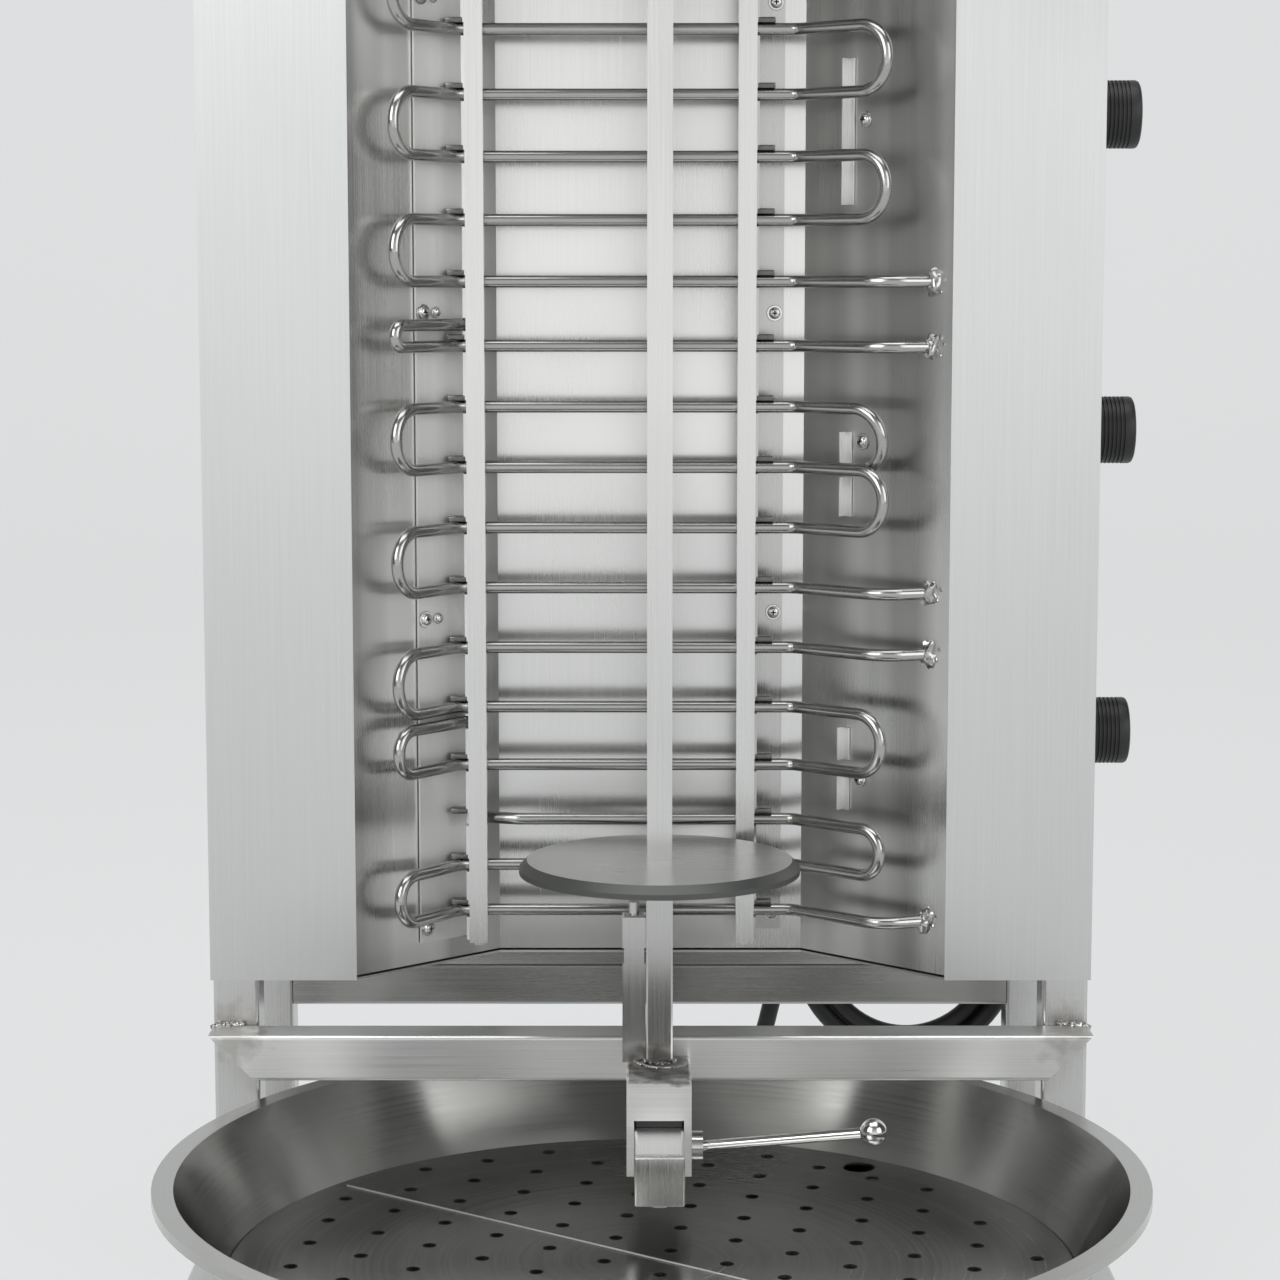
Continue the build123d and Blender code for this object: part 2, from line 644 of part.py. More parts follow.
def bearing_post():
    """Square post with the pivot bore in its top."""
    half = POST_SIDE / 2
    top = DISC_Z - RUN_GAP - RING_T
    post = block(SPIT_X - half, SPIT_X + half, SPIT_Y - half, SPIT_Y + half, SADDLE_TOP, top)
    post = chamfer(post.edges().filter_by(Axis.Z), POST_CHAMFER)
    return post - Pos(SPIT_X, SPIT_Y, top) * Cylinder(PIVOT_D / 2 + SHAFT_GAP, 2 * PIVOT_LEN)


def thrust_ring():
    """Washer that the meat disc turns on."""
    ring = Circle(RING_D / 2) - Circle(PIVOT_D / 2 + SHAFT_GAP)
    return Pos(SPIT_X, SPIT_Y, DISC_Z - RUN_GAP - RING_T) * extrude(ring, RING_T)


def steady_post():
    """Shorter post beside the bearing post, with a necked-in top."""
    tube = Pos(STEADY_X, STEADY_Y, SADDLE_TOP) * extrude(Rectangle(STEADY_SIDE, STEADY_SIDE), STEADY_TUBE_H)
    neck = Pos(STEADY_X, STEADY_Y, SADDLE_TOP + STEADY_TUBE_H) * extrude(Rectangle(*STEADY_NECK), STEADY_NECK_H)
    return tube + neck


def steady_head():
    """Head block on the steady post with its pin."""
    z = SADDLE_TOP + STEADY_TUBE_H + STEADY_NECK_H
    head = Pos(STEADY_X, STEADY_Y, z) * extrude(Rectangle(STEADY_SIDE, STEADY_SIDE), STEADY_HEAD_H)
    pin = Pos(STEADY_X, STEADY_Y, z + STEADY_HEAD_H) * extrude(Circle(STEADY_PIN_D / 2), STEADY_PIN_H)
    return chamfer(head.edges().group_by(Axis.Z)[-1], STEADY_CHAMFER) + pin


def lever_pivot():
    """Point on the lever's axis at the right cheek's outer face."""
    return Vector(ARM_X + SADDLE_W / 2, SADDLE_Y0 + LEVER_SETBACK, ARM_TOP - ARM_SIDE / 2)


def clamp_lever():
    """Clamp screw through the right cheek, its boss and the slanted rod."""
    pivot = lever_pivot() + Vector(RUN_GAP, 0, 0)
    boss = rod(pivot, pivot + Vector(LEVER_BOSS_T, 0, 0), LEVER_BOSS_D)
    start = pivot + Vector(LEVER_BOSS_T / 2, 0, 0)
    screw = rod(Vector(ARM_X + ARM_SIDE / 2 + RUN_GAP, pivot.Y, pivot.Z), pivot, CLAMP_SCREW_D)
    return boss + screw + rod(start, start + Vector(*LEVER_SPAN), LEVER_ROD_D)


def lever_ball():
    """Ball on the end of the lever's rod."""
    span = Vector(*LEVER_SPAN)
    end = lever_pivot() + Vector(RUN_GAP + LEVER_BOSS_T / 2, 0, 0) + span
    centre = end + span.normalized() * (BALL_D / 2 - BALL_SEAT)
    ball = Pos(*centre) * Sphere(BALL_D / 2)
    return ball - rod(end - span.normalized() * BALL_D, end, LEVER_ROD_D + 2 * BALL_GAP)


def meat_disc():
    """Round plate with a bevelled edge and a square hole for the spit."""
    disc = Pos(SPIT_X, SPIT_Y, DISC_Z) * extrude(Circle(DISC_D / 2), DISC_T)
    disc = chamfer(disc.edges().group_by(Axis.Z)[-1], DISC_BEVEL)
    hole = SPIT_SIDE + 2 * SHAFT_GAP
    return disc - Pos(SPIT_X, SPIT_Y, DISC_Z) * Box(hole, hole, 4 * DISC_T)


def spit_bar():
    """Square bar with a turned pivot at its foot."""
    bar = Pos(SPIT_X, SPIT_Y, DISC_Z) * extrude(Rectangle(SPIT_SIDE, SPIT_SIDE), SPIT_TOP - DISC_Z)
    bar = chamfer(bar.edges().group_by(Axis.Z)[-1], SPIT_TIP)
    length = PIVOT_LEN - PIVOT_ROOT
    pivot = Pos(SPIT_X, SPIT_Y, DISC_Z - length) * extrude(Circle(PIVOT_D / 2), length)
    return bar + pivot


def drip_pan():
    """Round pan with a flat rim, a rolled lip and a tapered wall, turned about its axis."""
    rim = PAN_D / 2
    mouth = rim - PAN_RIM
    floor = PAN_BOTTOM_D / 2
    outline = Polyline((0, 0), (floor, 0), (mouth, PAN_H - PAN_T), (rim - PAN_T, PAN_H - PAN_T),
                       (rim - PAN_T, PAN_H - PAN_LIP), (rim, PAN_H - PAN_LIP), (rim, PAN_H),
                       (mouth - PAN_T, PAN_H), (floor - PAN_T, PAN_T), (0, PAN_T), close=True)
    return Pos(0, PAN_Y, PAN_Z) * revolve(Plane.XZ * make_face(outline), Axis.Z)


def pan_radius(height):
    """Inner radius of the pan at a height above its floor."""
    low = PAN_BOTTOM_D / 2 - PAN_T
    high = PAN_D / 2 - PAN_RIM - PAN_T
    return low + (high - low) * (height - PAN_T) / (PAN_H - PAN_T)


def strainer():
    """Perforated plate in two halves, split along a diameter, with a finger hole."""
    under = PAN_H - STRAINER_DROP - STRAINER_T
    radius = pan_radius(under) - RUN_GAP
    rows = int(radius // STRAINER_ROW)
    edge = radius - 2 * STRAINER_HOLE_D
    finger = Vector(*FINGER_AT).rotate(Axis.Z, -SEAM_ANGLE)
    spots = []
    for row in range(-rows, rows + 1):
        v = (row + 0.5) * STRAINER_ROW
        for column in range(-rows, rows + 1):
            u = (column + 0.5 * (row % 2)) * STRAINER_PITCH
            near_finger = math.hypot(u - finger.X, v - finger.Y) < FINGER_D
            if math.hypot(u, v) < edge and not near_finger:
                spots.append((u, v))
    face = Circle(radius) - [Pos(u, v) * RegularPolygon(STRAINER_HOLE_D / 2, HOLE_SIDES) for u, v in spots]
    face -= Pos(finger.X, finger.Y) * Circle(FINGER_D / 2)
    halves = []
    for side in (1, -1):
        half = face & Pos(0, side * (radius + STRAINER_SEAM / 2)) * Rectangle(3 * radius, 2 * radius)
        plate = extrude(half, STRAINER_T)
        halves.append(Pos(0, PAN_Y, PAN_Z + under) * Rot(0, 0, SEAM_ANGLE) * plate)
    return {"strainer_rear": halves[0], "strainer_front": halves[1]}


def knob(height):
    """Turned knob with rings on its rim, a domed face and its spindle."""
    radius = KNOB_D / 2
    profile = [(0, 0), (radius, 0)]
    for ring in range(KNOB_RINGS):
        start = KNOB_SKIRT + KNOB_RING * ring
        profile += [(radius, start), (radius - KNOB_GROOVE, start + KNOB_GROOVE), (radius, start + 2 * KNOB_GROOVE)]
    profile += [(radius, KNOB_LEN - 1.5 * KNOB_EDGE), (radius - KNOB_EDGE, KNOB_LEN - 0.5 * KNOB_EDGE), (0, KNOB_LEN)]
    face = make_face(Polyline(*profile, close=True))
    body = revolve(Plane.XZ * face, Axis.Z)
    spindle = Pos(0, 0, -SPINDLE_IN) * extrude(Circle(SPINDLE_D / 2), SPINDLE_IN + 1)
    return Pos(HALF_W + RUN_GAP, KNOB_Y, CAB_Z + height) * Rot(0, 90, 0) * (body + spindle)


def rotary_switches():
    """Switch blocks behind the right side panel, one for each knob."""
    y0 = SHEET + TUBE + SEAT_GAP
    blocks = []
    for height in KNOB_HEIGHTS:
        z = CAB_Z + height
        inside = HALF_W - SHEET
        body = block(inside - SWITCH_LEN, inside, y0, y0 + SWITCH_SIDE, z - SWITCH_H / 2, z + SWITCH_H / 2)
        hole = Pos(inside, KNOB_Y, z) * Rot(0, 90, 0) * Cylinder(SPINDLE_D / 2 + SHAFT_GAP, 2 * SPINDLE_IN + 2)
        blocks.append(body - hole)
    return Compound(blocks)


def top_rails():
    """Two rails on the roof that the drive slides on."""
    z = RAIL_Z + RAIL_SIDE / 2
    places = (SPIT_X - RAIL_SPACING / 2, SPIT_X + RAIL_SPACING / 2)
    return Compound([square_tube((x, RAIL_FRONT, z), (x, RAIL_BACK, z), side=RAIL_SIDE) for x in places])


def motor_plate():
    """Sliding plate with side lips over the rails."""
    half = MOTOR_PLATE_W / 2
    y0 = SPIT_Y - PLATE_FRONT
    y1 = y0 + MOTOR_PLATE_LEN
    lip = MOTOR_Z - RAIL_SIDE + PLATE_LIP_CLEAR
    top = MOTOR_Z + PLATE_LIP_SEAT
    rail_out = RAIL_SPACING / 2 + RAIL_SIDE / 2 + RUN_GAP
    plate = block(SPIT_X - half, SPIT_X + half, y0, y1, MOTOR_Z, MOTOR_Z + PLATE_T)
    plate += block(SPIT_X - rail_out - PLATE_LIP_T, SPIT_X - rail_out, y0, y1, lip, top)
    plate += block(SPIT_X + rail_out, SPIT_X + rail_out + PLATE_LIP_T, y0, y1, lip, top)
    return plate - Pos(SPIT_X, SPIT_Y, MOTOR_Z) * Cylinder(DRIVE_SHAFT_D / 2 + SHAFT_GAP, 4 * PLATE_T)


def wheel_centre():
    """Place of the output gear inside the case."""
    return Vector(SPIT_X, SPIT_Y, MOTOR_Z + PLATE_T + GEAR_LIFT)


def pinion_centre():
    """Place of the motor pinion, one centre distance behind the output gear."""
    apart = GEAR_MODULE * (WHEEL_TEETH + PINION_TEETH) / 2
    return wheel_centre() + Vector(0, apart, 0)


def gear(teeth, bore, turn):
    """Straight-toothed gear with tapered flanks, thinned by the backlash."""
    pitch_r = GEAR_MODULE * teeth / 2
    root = pitch_r - 1.2 * GEAR_MODULE
    tip = pitch_r + GEAR_MODULE * 0.9
    half_pitch = (math.pi * GEAR_MODULE / 2 - GEAR_BACKLASH) / 2
    tooth = make_face(Polyline((root - 1, -half_pitch * 1.7), (tip, -half_pitch * 0.45),
                               (tip, half_pitch * 0.45), (root - 1, half_pitch * 1.7), close=True))
    blank = Circle(root) + [Rot(0, 0, turn + 360 * n / teeth) * tooth for n in range(teeth)]
    if bore:
        blank -= Circle(bore / 2)
    return extrude(blank, GEAR_T)


def output_gear():
    """Gear on the drive shaft."""
    return Pos(*wheel_centre()) * gear(WHEEL_TEETH, DRIVE_SHAFT_D + 2 * SHAFT_GAP, 90)


def motor_pinion():
    """Small gear and shaft of the motor."""
    small = gear(PINION_TEETH, 0, 90 + 180 / PINION_TEETH)
    length = CASE_H - GEAR_LIFT - GEAR_T + MOTOR_SHAFT_IN
    shaft = Pos(0, 0, GEAR_T) * extrude(Circle(MOTOR_SHAFT_D / 2), length)
    return Pos(*pinion_centre()) * (small + shaft)


def gear_case():
    """Box over the gears, open at the bottom where the sliding plate closes it."""
    x = CASE_W / 2
    y0 = SPIT_Y - CASE_LEN / 2 + CASE_SHIFT
    z0 = MOTOR_Z + PLATE_T
    shell = block(SPIT_X - x, SPIT_X + x, y0, y0 + CASE_LEN, z0, z0 + CASE_H)
    shell = fillet(shell.edges().filter_by(Axis.Z), CASE_ROUND)
    inner = block(SPIT_X - x + CASE_T, SPIT_X + x - CASE_T, y0 + CASE_T, y0 + CASE_LEN - CASE_T,
                  z0 - 1, z0 + CASE_H - CASE_T)
    pinion = pinion_centre()
    hole = Cylinder(MOTOR_SHAFT_D / 2 + RUN_GAP, 4 * CASE_T)
    return shell - inner - Pos(pinion.X, pinion.Y, z0 + CASE_H) * hole


def gear_motor():
    """Motor can on the case, with its bearing bore."""
    pinion = pinion_centre()
    base_z = MOTOR_Z + PLATE_T + CASE_H
    can = Pos(pinion.X, pinion.Y, base_z) * extrude(Circle(MOTOR_D / 2), MOTOR_H)
    can = fillet(can.edges().group_by(Axis.Z)[-1], MOTOR_ROUND)
    return can - Pos(pinion.X, pinion.Y, base_z) * Cylinder(MOTOR_SHAFT_D / 2 + SHAFT_GAP, 2 * MOTOR_BORE_IN)


def drive_socket():
    """Shaft with the square socket that takes the top of the spit."""
    top = wheel_centre().Z + GEAR_T
    collar_z = MOTOR_Z - SOCKET_LEN
    shaft = Pos(SPIT_X, SPIT_Y, MOTOR_Z - RUN_GAP) * extrude(Circle(DRIVE_SHAFT_D / 2), top - MOTOR_Z + RUN_GAP)
    cup = Pos(SPIT_X, SPIT_Y, collar_z) * extrude(Circle(SOCKET_D / 2), SOCKET_LEN - RUN_GAP)
    hole = Pos(SPIT_X, SPIT_Y, collar_z - 1) * extrude(
        Rectangle(SPIT_SIDE + 2 * RUN_GAP, SPIT_SIDE + 2 * RUN_GAP), SOCKET_GRIP + SOCKET_SPARE + 1)
    return shaft + cup - hole


def coil_place(angle):
    """Centre line of the coil at an angle in degrees: two layers, in and out again."""
    middle = (COIL_START + COIL_END) / 2
    radius = COIL_MIN_R + COIL_PITCH * abs(angle - middle) / 360
    climb = min(1.0, max(0.0, (angle - middle) / COIL_CLIMB + 0.5))
    y = GLAND_Y + COIL_PITCH * climb * climb * (3 - 2 * climb)
    turn = math.radians(angle)
    return Vector(COIL_X + radius * math.cos(turn), y, CAB_Z - COIL_DROP + radius * math.sin(turn))


def coil_heading(angle):
    """Direction of the coil's centre line."""
    return (coil_place(angle + 0.5) - coil_place(angle - 0.5)).normalized()


def biarc(start, start_dir, end, end_dir):
    """Two arcs that join two points with given directions."""
    gap = end - start
    both = start_dir + end_dir
    spread = 2 * (1 - start_dir.dot(end_dir))
    reach = (math.sqrt(gap.dot(both) ** 2 + spread * gap.dot(gap)) - gap.dot(both)) / spread
    first = start + start_dir * reach
    last = end - end_dir * reach
    joint = (first + last) * 0.5
    return [TangentArc(start, joint, tangent=start_dir),
            TangentArc(joint, end, tangent=(last - first).normalized())]


def cord_coil():
    """Round coil of cord hung on its hook, one unbroken tube with straight ends."""
    count = round((COIL_END - COIL_START) / 90)
    angles = [COIL_START + (COIL_END - COIL_START) * n / count for n in range(count + 1)]
    places = [coil_place(angle) for angle in angles]
    headings = [coil_heading(angle) for angle in angles]
    headings[0] = Vector(0, 0, -1)
    edges = [Line(Vector(places[0].X, places[0].Y, gland_tip()), places[0])]
    for n in range(count):
        edges += biarc(places[n], headings[n], places[n + 1], headings[n + 1])
    edges.append(Line(places[-1], places[-1] + headings[-1] * CORD_D))
    path = Wire(edges)
    section = Plane(origin=path @ 0, z_dir=path % 0) * Circle(CORD_D / 2)
    tube = sweep(section, path=path)
    exact = math.pi * CORD_D ** 2 / 4 * path.length
    print("coil: length", round(path.length), "volume ratio", round(tube.volume / exact, 4))
    print("coil: least gap to itself", round(coil_gap(), 2))
    return tube


def coil_gap():
    """Least distance between neighbouring turns, from points on the centre line."""
    step = 5
    places = [coil_place(COIL_START + step * n) for n in range(int((COIL_END - COIL_START) / step) + 1)]
    far = 180 // step
    least = min((places[a] - places[b]).length for a in range(len(places)) for b in range(a + far, len(places)))
    return least - CORD_D


def gland_x():
    """The gland stands over the coil's first point."""
    return COIL_X - COIL_MIN_R - COIL_PITCH * (COIL_END - COIL_START) / 720


def gland_tip():
    """Lower end of the strain relief."""
    return CAB_Z - BOX_DROP - GLAND_H - RELIEF_H


def terminal_box():
    """Small box on the back cover where the cord comes in."""
    x = gland_x()
    z0 = CAB_Z - BOX_DROP
    box = block(x - BOX_W / 2, x + BOX_W / 2, BACK_Y, BACK_Y + BOX_D, z0, z0 + BOX_H)
    box = fillet(box.edges().filter_by(Axis.Y), BOX_ROUND)
    half = BOX_W / 2 - BOX_WALL
    inner = block(x - half, x + half, BACK_Y - 1, BACK_Y + BOX_D - BOX_WALL, z0 + BOX_WALL, z0 + BOX_H - BOX_WALL)
    return box - inner


def cable_gland():
    """Hexagon nut with its tapered strain relief, pointing down."""
    z = CAB_Z - BOX_DROP
    nut = extrude(RegularPolygon(GLAND_HEX / 2, 6, major_radius=False), -GLAND_H)
    relief = loft([Pos(0, 0, -GLAND_H) * Circle(RELIEF_TOP_R),
                   Pos(0, 0, -GLAND_H - RELIEF_H) * Circle(CORD_D / 2 + RELIEF_WALL)])
    return Pos(gland_x(), GLAND_Y, z) * (nut + relief)


def cord_hook():
    """Bent rod on the back cover that carries the coil."""
    top = CAB_Z - COIL_DROP + COIL_MIN_R - CORD_D / 2 - RUN_GAP
    z = top - HOOK_D / 2 + HOOK_LIFT
    points = [(COIL_X, BACK_Y, z), (COIL_X, HOOK_Y, z), (COIL_X, HOOK_Y, z + HOOK_RISE_END)]
    return bent_tube(points, [HOOK_D], HOOK_D)


def tail_points():
    """Hand-chosen route of the loose end, from the coil to the plug on the table."""
    start = coil_place(COIL_END) + coil_heading(COIL_END) * CORD_D
    heading = coil_heading(COIL_END)
    second = start + heading * 44
    level = PLUG_D / 2
    return [tuple(start), tuple(second), (83.0, 262.0, 92.0), (60.0, 270.0, 48.0),
            (16.0, PLUG_Y, level), (PLUG_X, PLUG_Y, level)]


def cord_radii(points):
    """Arc radius at each corner of a cord's route."""
    radii = []
    for a, b, c in zip(points, points[1:], points[2:]):
        into = Vector(b) - Vector(a)
        away = Vector(c) - Vector(b)
        turn = math.radians(into.get_angle(away))
        radii.append(0.45 * min(into.length, away.length) / math.tan(turn / 2))
    return radii


def cord_tail():
    """Loose end of the cord."""
    points = tail_points()
    radii = cord_radii(points)
    print("tail: radii", [round(radius) for radius in radii])
    tube = bent_tube(points, radii, CORD_D)
    length = FilletPolyline(*points, radius=radii).length
    print("tail: length", round(length), "volume ratio", round(tube.volume / (math.pi * CORD_D ** 2 / 4 * length), 4))
    return tube


def plug():
    """Round plug with two pins, lying on the table."""
    half = PLUG_D / 2
    profile = Polyline((0, 0), *PLUG_NOSE, (half, PLUG_SHOULDER), (half, PLUG_LEN), (0, PLUG_LEN), close=True)
    body = revolve(Plane.XZ * make_face(profile), Axis.Z)
    for side in (-1, 1):
        body += Pos(0, side * PIN_SPACING / 2, PLUG_LEN) * extrude(Circle(PIN_D / 2), PIN_LEN)
    return Pos(PLUG_X, PLUG_Y, half) * Rot(0, -90, 0) * body


def build():
    """All nodes by name."""
    parts = {}
    parts.update(legs())
    parts.update(base())
    parts["front_crossbar"] = front_crossbar()
    parts["rear_crossbar"] = rear_crossbar()
    parts["side_panel_right"] = side_panel()
    parts["side_panel_left"] = plain_side_panel()
    parts["reflector_wing_right"] = wing_right()
    parts["reflector_wing_left"] = mirror(wing(), Plane.YZ)
    parts["back_reflector"] = reflector()
    parts["bottom_plate"] = bottom_plate()
    parts["top_plate"] = top_plate()
    parts["back_cover"] = back_cover()
    parts["heating_element_upper"] = upper_element()
    parts["heating_element_middle"] = middle_element()
    parts["heating_element_lower"] = lower_element()
    parts["terminal_collars"] = terminal_collars()
    parts["guard_bar_left"] = guard_bar(GUARD_LEFT_X)
    parts["guard_bar_right"] = guard_bar(GUARD_RIGHT_X)
    parts.update(combs())
    parts["panel_screws"] = panel_screws()
    parts["slide_arm"] = slide_arm()
    parts["arm_spacer"] = arm_spacer()
    parts["arm_bolt"] = arm_bolt()
    parts["carriage_saddle"] = carriage_saddle()
    parts["wear_pad"] = wear_pad()
    parts["bearing_post"] = bearing_post()
    parts["thrust_ring"] = thrust_ring()
    parts["steady_post"] = steady_post()
    parts["steady_head"] = steady_head()
    parts["clamp_lever"] = clamp_lever()
    parts["lever_ball"] = lever_ball()
    parts["meat_disc"] = meat_disc()
    parts["spit_bar"] = spit_bar()
    parts["drip_pan"] = drip_pan()
    parts.update(strainer())
    for name, height in zip(("lower", "middle", "upper"), KNOB_HEIGHTS):
        parts[f"knob_{name}"] = knob(height)
    parts["rotary_switches"] = rotary_switches()
    parts["top_rails"] = top_rails()
    parts["motor_plate"] = motor_plate()
    parts["gear_case"] = gear_case()
    parts["gear_motor"] = gear_motor()
    parts["motor_pinion"] = motor_pinion()
    parts["output_gear"] = output_gear()
    parts["drive_socket"] = drive_socket()
    parts["terminal_box"] = terminal_box()
    parts["cable_gland"] = cable_gland()
    parts["cord_hook"] = cord_hook()
    parts["cord_coil"] = cord_coil()
    parts["cord_tail"] = cord_tail()
    parts["plug"] = plug()
    return parts


def main():
    """Write every node, moved so that the origin is under the middle of the part."""
    os.makedirs("parts", exist_ok=True)
    for name, shape in build().items():
        export_step(Pos(SHIFT_X, SHIFT_Y, 0) * shape, f"parts/{name}.step")
    print("shift", round(SHIFT_X, 3), round(SHIFT_Y, 3), "cabinet edge", round(CAB_Z, 3))


main()
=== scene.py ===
import logging
import math
from dataclasses import dataclass
from enum import Enum

import bmesh
import bpy
from mathutils import Matrix, Vector, noise


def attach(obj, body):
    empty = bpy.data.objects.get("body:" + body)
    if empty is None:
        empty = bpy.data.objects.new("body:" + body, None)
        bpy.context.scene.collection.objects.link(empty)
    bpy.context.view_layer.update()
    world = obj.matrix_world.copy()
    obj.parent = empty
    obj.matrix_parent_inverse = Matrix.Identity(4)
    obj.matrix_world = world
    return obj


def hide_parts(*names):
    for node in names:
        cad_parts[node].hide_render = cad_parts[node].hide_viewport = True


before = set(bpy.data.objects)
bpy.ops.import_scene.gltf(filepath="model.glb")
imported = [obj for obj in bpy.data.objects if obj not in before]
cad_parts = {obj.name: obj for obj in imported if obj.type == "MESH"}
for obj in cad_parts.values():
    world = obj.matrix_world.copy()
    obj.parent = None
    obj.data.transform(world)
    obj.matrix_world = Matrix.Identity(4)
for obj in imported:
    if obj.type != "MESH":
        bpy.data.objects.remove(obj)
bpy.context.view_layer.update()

LOG = logging.getLogger("grill")

# The drawing's x = 0 is the cabinet's middle and its y = 0 the front plane of the legs.
MM = 0.001
SHIFT_X = -8.65
SHIFT_Y = 96.5
CAB_Z = 207.3
RECESS_D = 83.5
HALF_OPEN = 193.5
HALF_BACK = 103.0
SPIT_X = 5.5
SPIT_Y = -44.0
PAN_Y = -166.0

# Edges sharper than these are rounded, or shown as an edge.
BEVELLED = math.radians(30.0)
SHADED_FLAT = math.radians(38.0)

# Patterns in the steel, in cells per metre: light bands in the wings, painted as reflections, and lathe rings.
REFLECTION_BAND_CELLS = (26, 26, 0.4)
REFLECTION_BAND_COLOR = (0.95, 0.95, 0.93)
RING_CELLS = 420.0

Pair = tuple[float, float]
Triple = tuple[float, float, float]
Levels = tuple[float, ...]
Curve = tuple[Pair, ...]
Route = tuple[Triple, ...]
Profile = list[Pair]
Color = Triple
Socket = bpy.types.NodeSocket


def at(x: float, y: float, z: float) -> Vector:
    """Turn a drawing point into a row-frame point.

    Args:
        x: Millimetres to the right of the cabinet's middle.
        y: Millimetres behind the leg plane.
        z: Millimetres above the table.

    Returns:
        The point in metres.
    """
    return Vector((x + SHIFT_X, y + SHIFT_Y, z)) * MM


def stand(name: str, data: bpy.types.ID) -> bpy.types.Object:
    """Put an object with this data into the scene, at the origin.

    Args:
        name: Name of the object.
        data: Its mesh, curve, lamp or camera.

    Returns:
        The object.
    """
    made = bpy.data.objects.new(name, data)
    bpy.context.scene.collection.objects.link(made)
    return made


class Grain(Enum):
    """Direction of a brushed surface's lines, as noise cells per metre on each axis."""

    UPRIGHT = (1500, 1500, 9)
    ACROSS = (9, 1500, 1500)
    DEPTH = (1500, 9, 1500)
    CLOUDY = (160, 160, 160)
    RINGS = (0, 0, 0)

    def along(self) -> Triple | None:
        """Direction of the lines, a little askew so that no face stands square to it."""
        return {Grain.UPRIGHT: (0.03, 0.05, 1.0), Grain.ACROSS: (1.0, 0.05, 0.03),
                Grain.DEPTH: (0.05, 1.0, 0.03)}.get(self)


class NodeTree:
    """The nodes of a material or of the world."""

    def __init__(self, owner: bpy.types.ID) -> None:
        """Clear the owner's nodes.

        Args:
            owner: Material or world.
        """
        owner.use_nodes = True
        self.tree = owner.node_tree
        self.tree.nodes.clear()

    def add(self, kind: str, inputs: dict[str, object] | None = None, **settings: object) -> bpy.types.Node:
        """Add a node.

        Args:
            kind: Blender's name for the node type, without ShaderNode.
            inputs: Values or sockets for its inputs.
            **settings: Attributes to set on it.

        Returns:
            The new node.
        """
        node = self.tree.nodes.new("ShaderNode" + kind)
        for key, value in settings.items():
            setattr(node, key, value)
        for key, value in (inputs or {}).items():
            self.feed(value, node.inputs[key])
        return node

    def join(self, source: Socket, target: Socket) -> None:
        """Link two sockets."""
        self.tree.links.new(source, target)

    def feed(self, value: object, target: Socket) -> None:
        """Link a socket, or set a number or a colour as the target's own value.

        Args:
            value: Socket, number or colour.
            target: Input that gets it.
        """
        if isinstance(value, Socket):
            self.join(value, target)
        else:
            target.default_value = (*value, 1.0) if target.type == "RGBA" else value

    def coordinates(self, scale: Triple = (1, 1, 1), centre: Vector | None = None) -> Socket:
        """Object coordinates, moved to a centre and stretched.

        Args:
            scale: Factor on each axis.
            centre: Point that becomes the origin, in metres.

        Returns:
            The vector socket.
        """
        mapping = self.add("Mapping", {"Scale": scale, "Vector": self.add("TexCoord").outputs["Object"]})
        if centre is not None:
            mapping.inputs["Location"].default_value = [-c * s for c, s in zip(centre, scale)]
        return mapping.outputs["Vector"]

    def math(self, operation: str, first: object, second: object = 0.0) -> Socket:
        """One Math node.

        Args:
            operation: The node's operation.
            first: A socket or a number.
            second: A socket or a number.

        Returns:
            The value socket.
        """
        node = self.add("Math", operation=operation)
        self.feed(first, node.inputs[0])
        self.feed(second, node.inputs[1])
        return node.outputs["Value"]

    def cloud(self, vector: Socket, scale: float, detail: float = 3.0) -> Socket:
        """Noise between 0 and 1.

        Args:
            vector: Coordinates.
            scale: Cells per unit.
            detail: Octaves.

        Returns:
            The value socket.
        """
        return self.add("TexNoise", {"Vector": vector, "Scale": scale, "Detail": detail}).outputs["Fac"]

    def spread(self, value: Socket, low: float, high: float, start: float = 0.25, end: float = 0.75) -> Socket:
        """Map a value from start to end onto low to high, clamped.

        Args:
            value: Socket to map.
            low: Result at start.
            high: Result at end.
            start: Input that gives low.
            end: Input that gives high.

        Returns:
            The value socket.
        """
        return self.add("MapRange", {"Value": value, "From Min": start, "From Max": end, "To Min": low,
                                     "To Max": high}).outputs["Result"]

    def blend(self, factor: Socket, first: object, second: object) -> Socket:
        """Mix two colours.

        Args:
            factor: Socket from 0 to 1.
            first: Colour or socket at 0.
            second: Colour or socket at 1.

        Returns:
            The colour socket.
        """
        node = self.add("Mix", {"Factor": factor}, data_type="RGBA")
        self.feed(first, node.inputs[6])
        self.feed(second, node.inputs[7])
        return node.outputs[2]


class Surface(NodeTree):
    """A material's nodes around one Principled shader."""

    def __init__(self, name: str) -> None:
        """Start a material with its shader and output.

        Args:
            name: Name of the material.
        """
        self.material = bpy.data.materials.new(name)
        super().__init__(self.material)
        self.shader = self.add("BsdfPrincipled")
        self.output = self.add("OutputMaterial")
        self.join(self.shader.outputs["BSDF"], self.output.inputs["Surface"])

    def put(self, **values: object) -> None:
        """Feed the shader's own inputs by name, with _ for a space."""
        for key, value in values.items():
            self.feed(value, self.shader.inputs[key.replace("_", " ")])

    def relief(self, height: Socket, strength: float, distance: float) -> None:
        """Bump from a height.

        Args:
            height: Height socket.
            strength: Bump strength.
            distance: Depth in metres.
        """
        node = self.add("Bump", {"Height": height, "Strength": strength, "Distance": distance})
        self.put(Normal=node.outputs["Normal"])


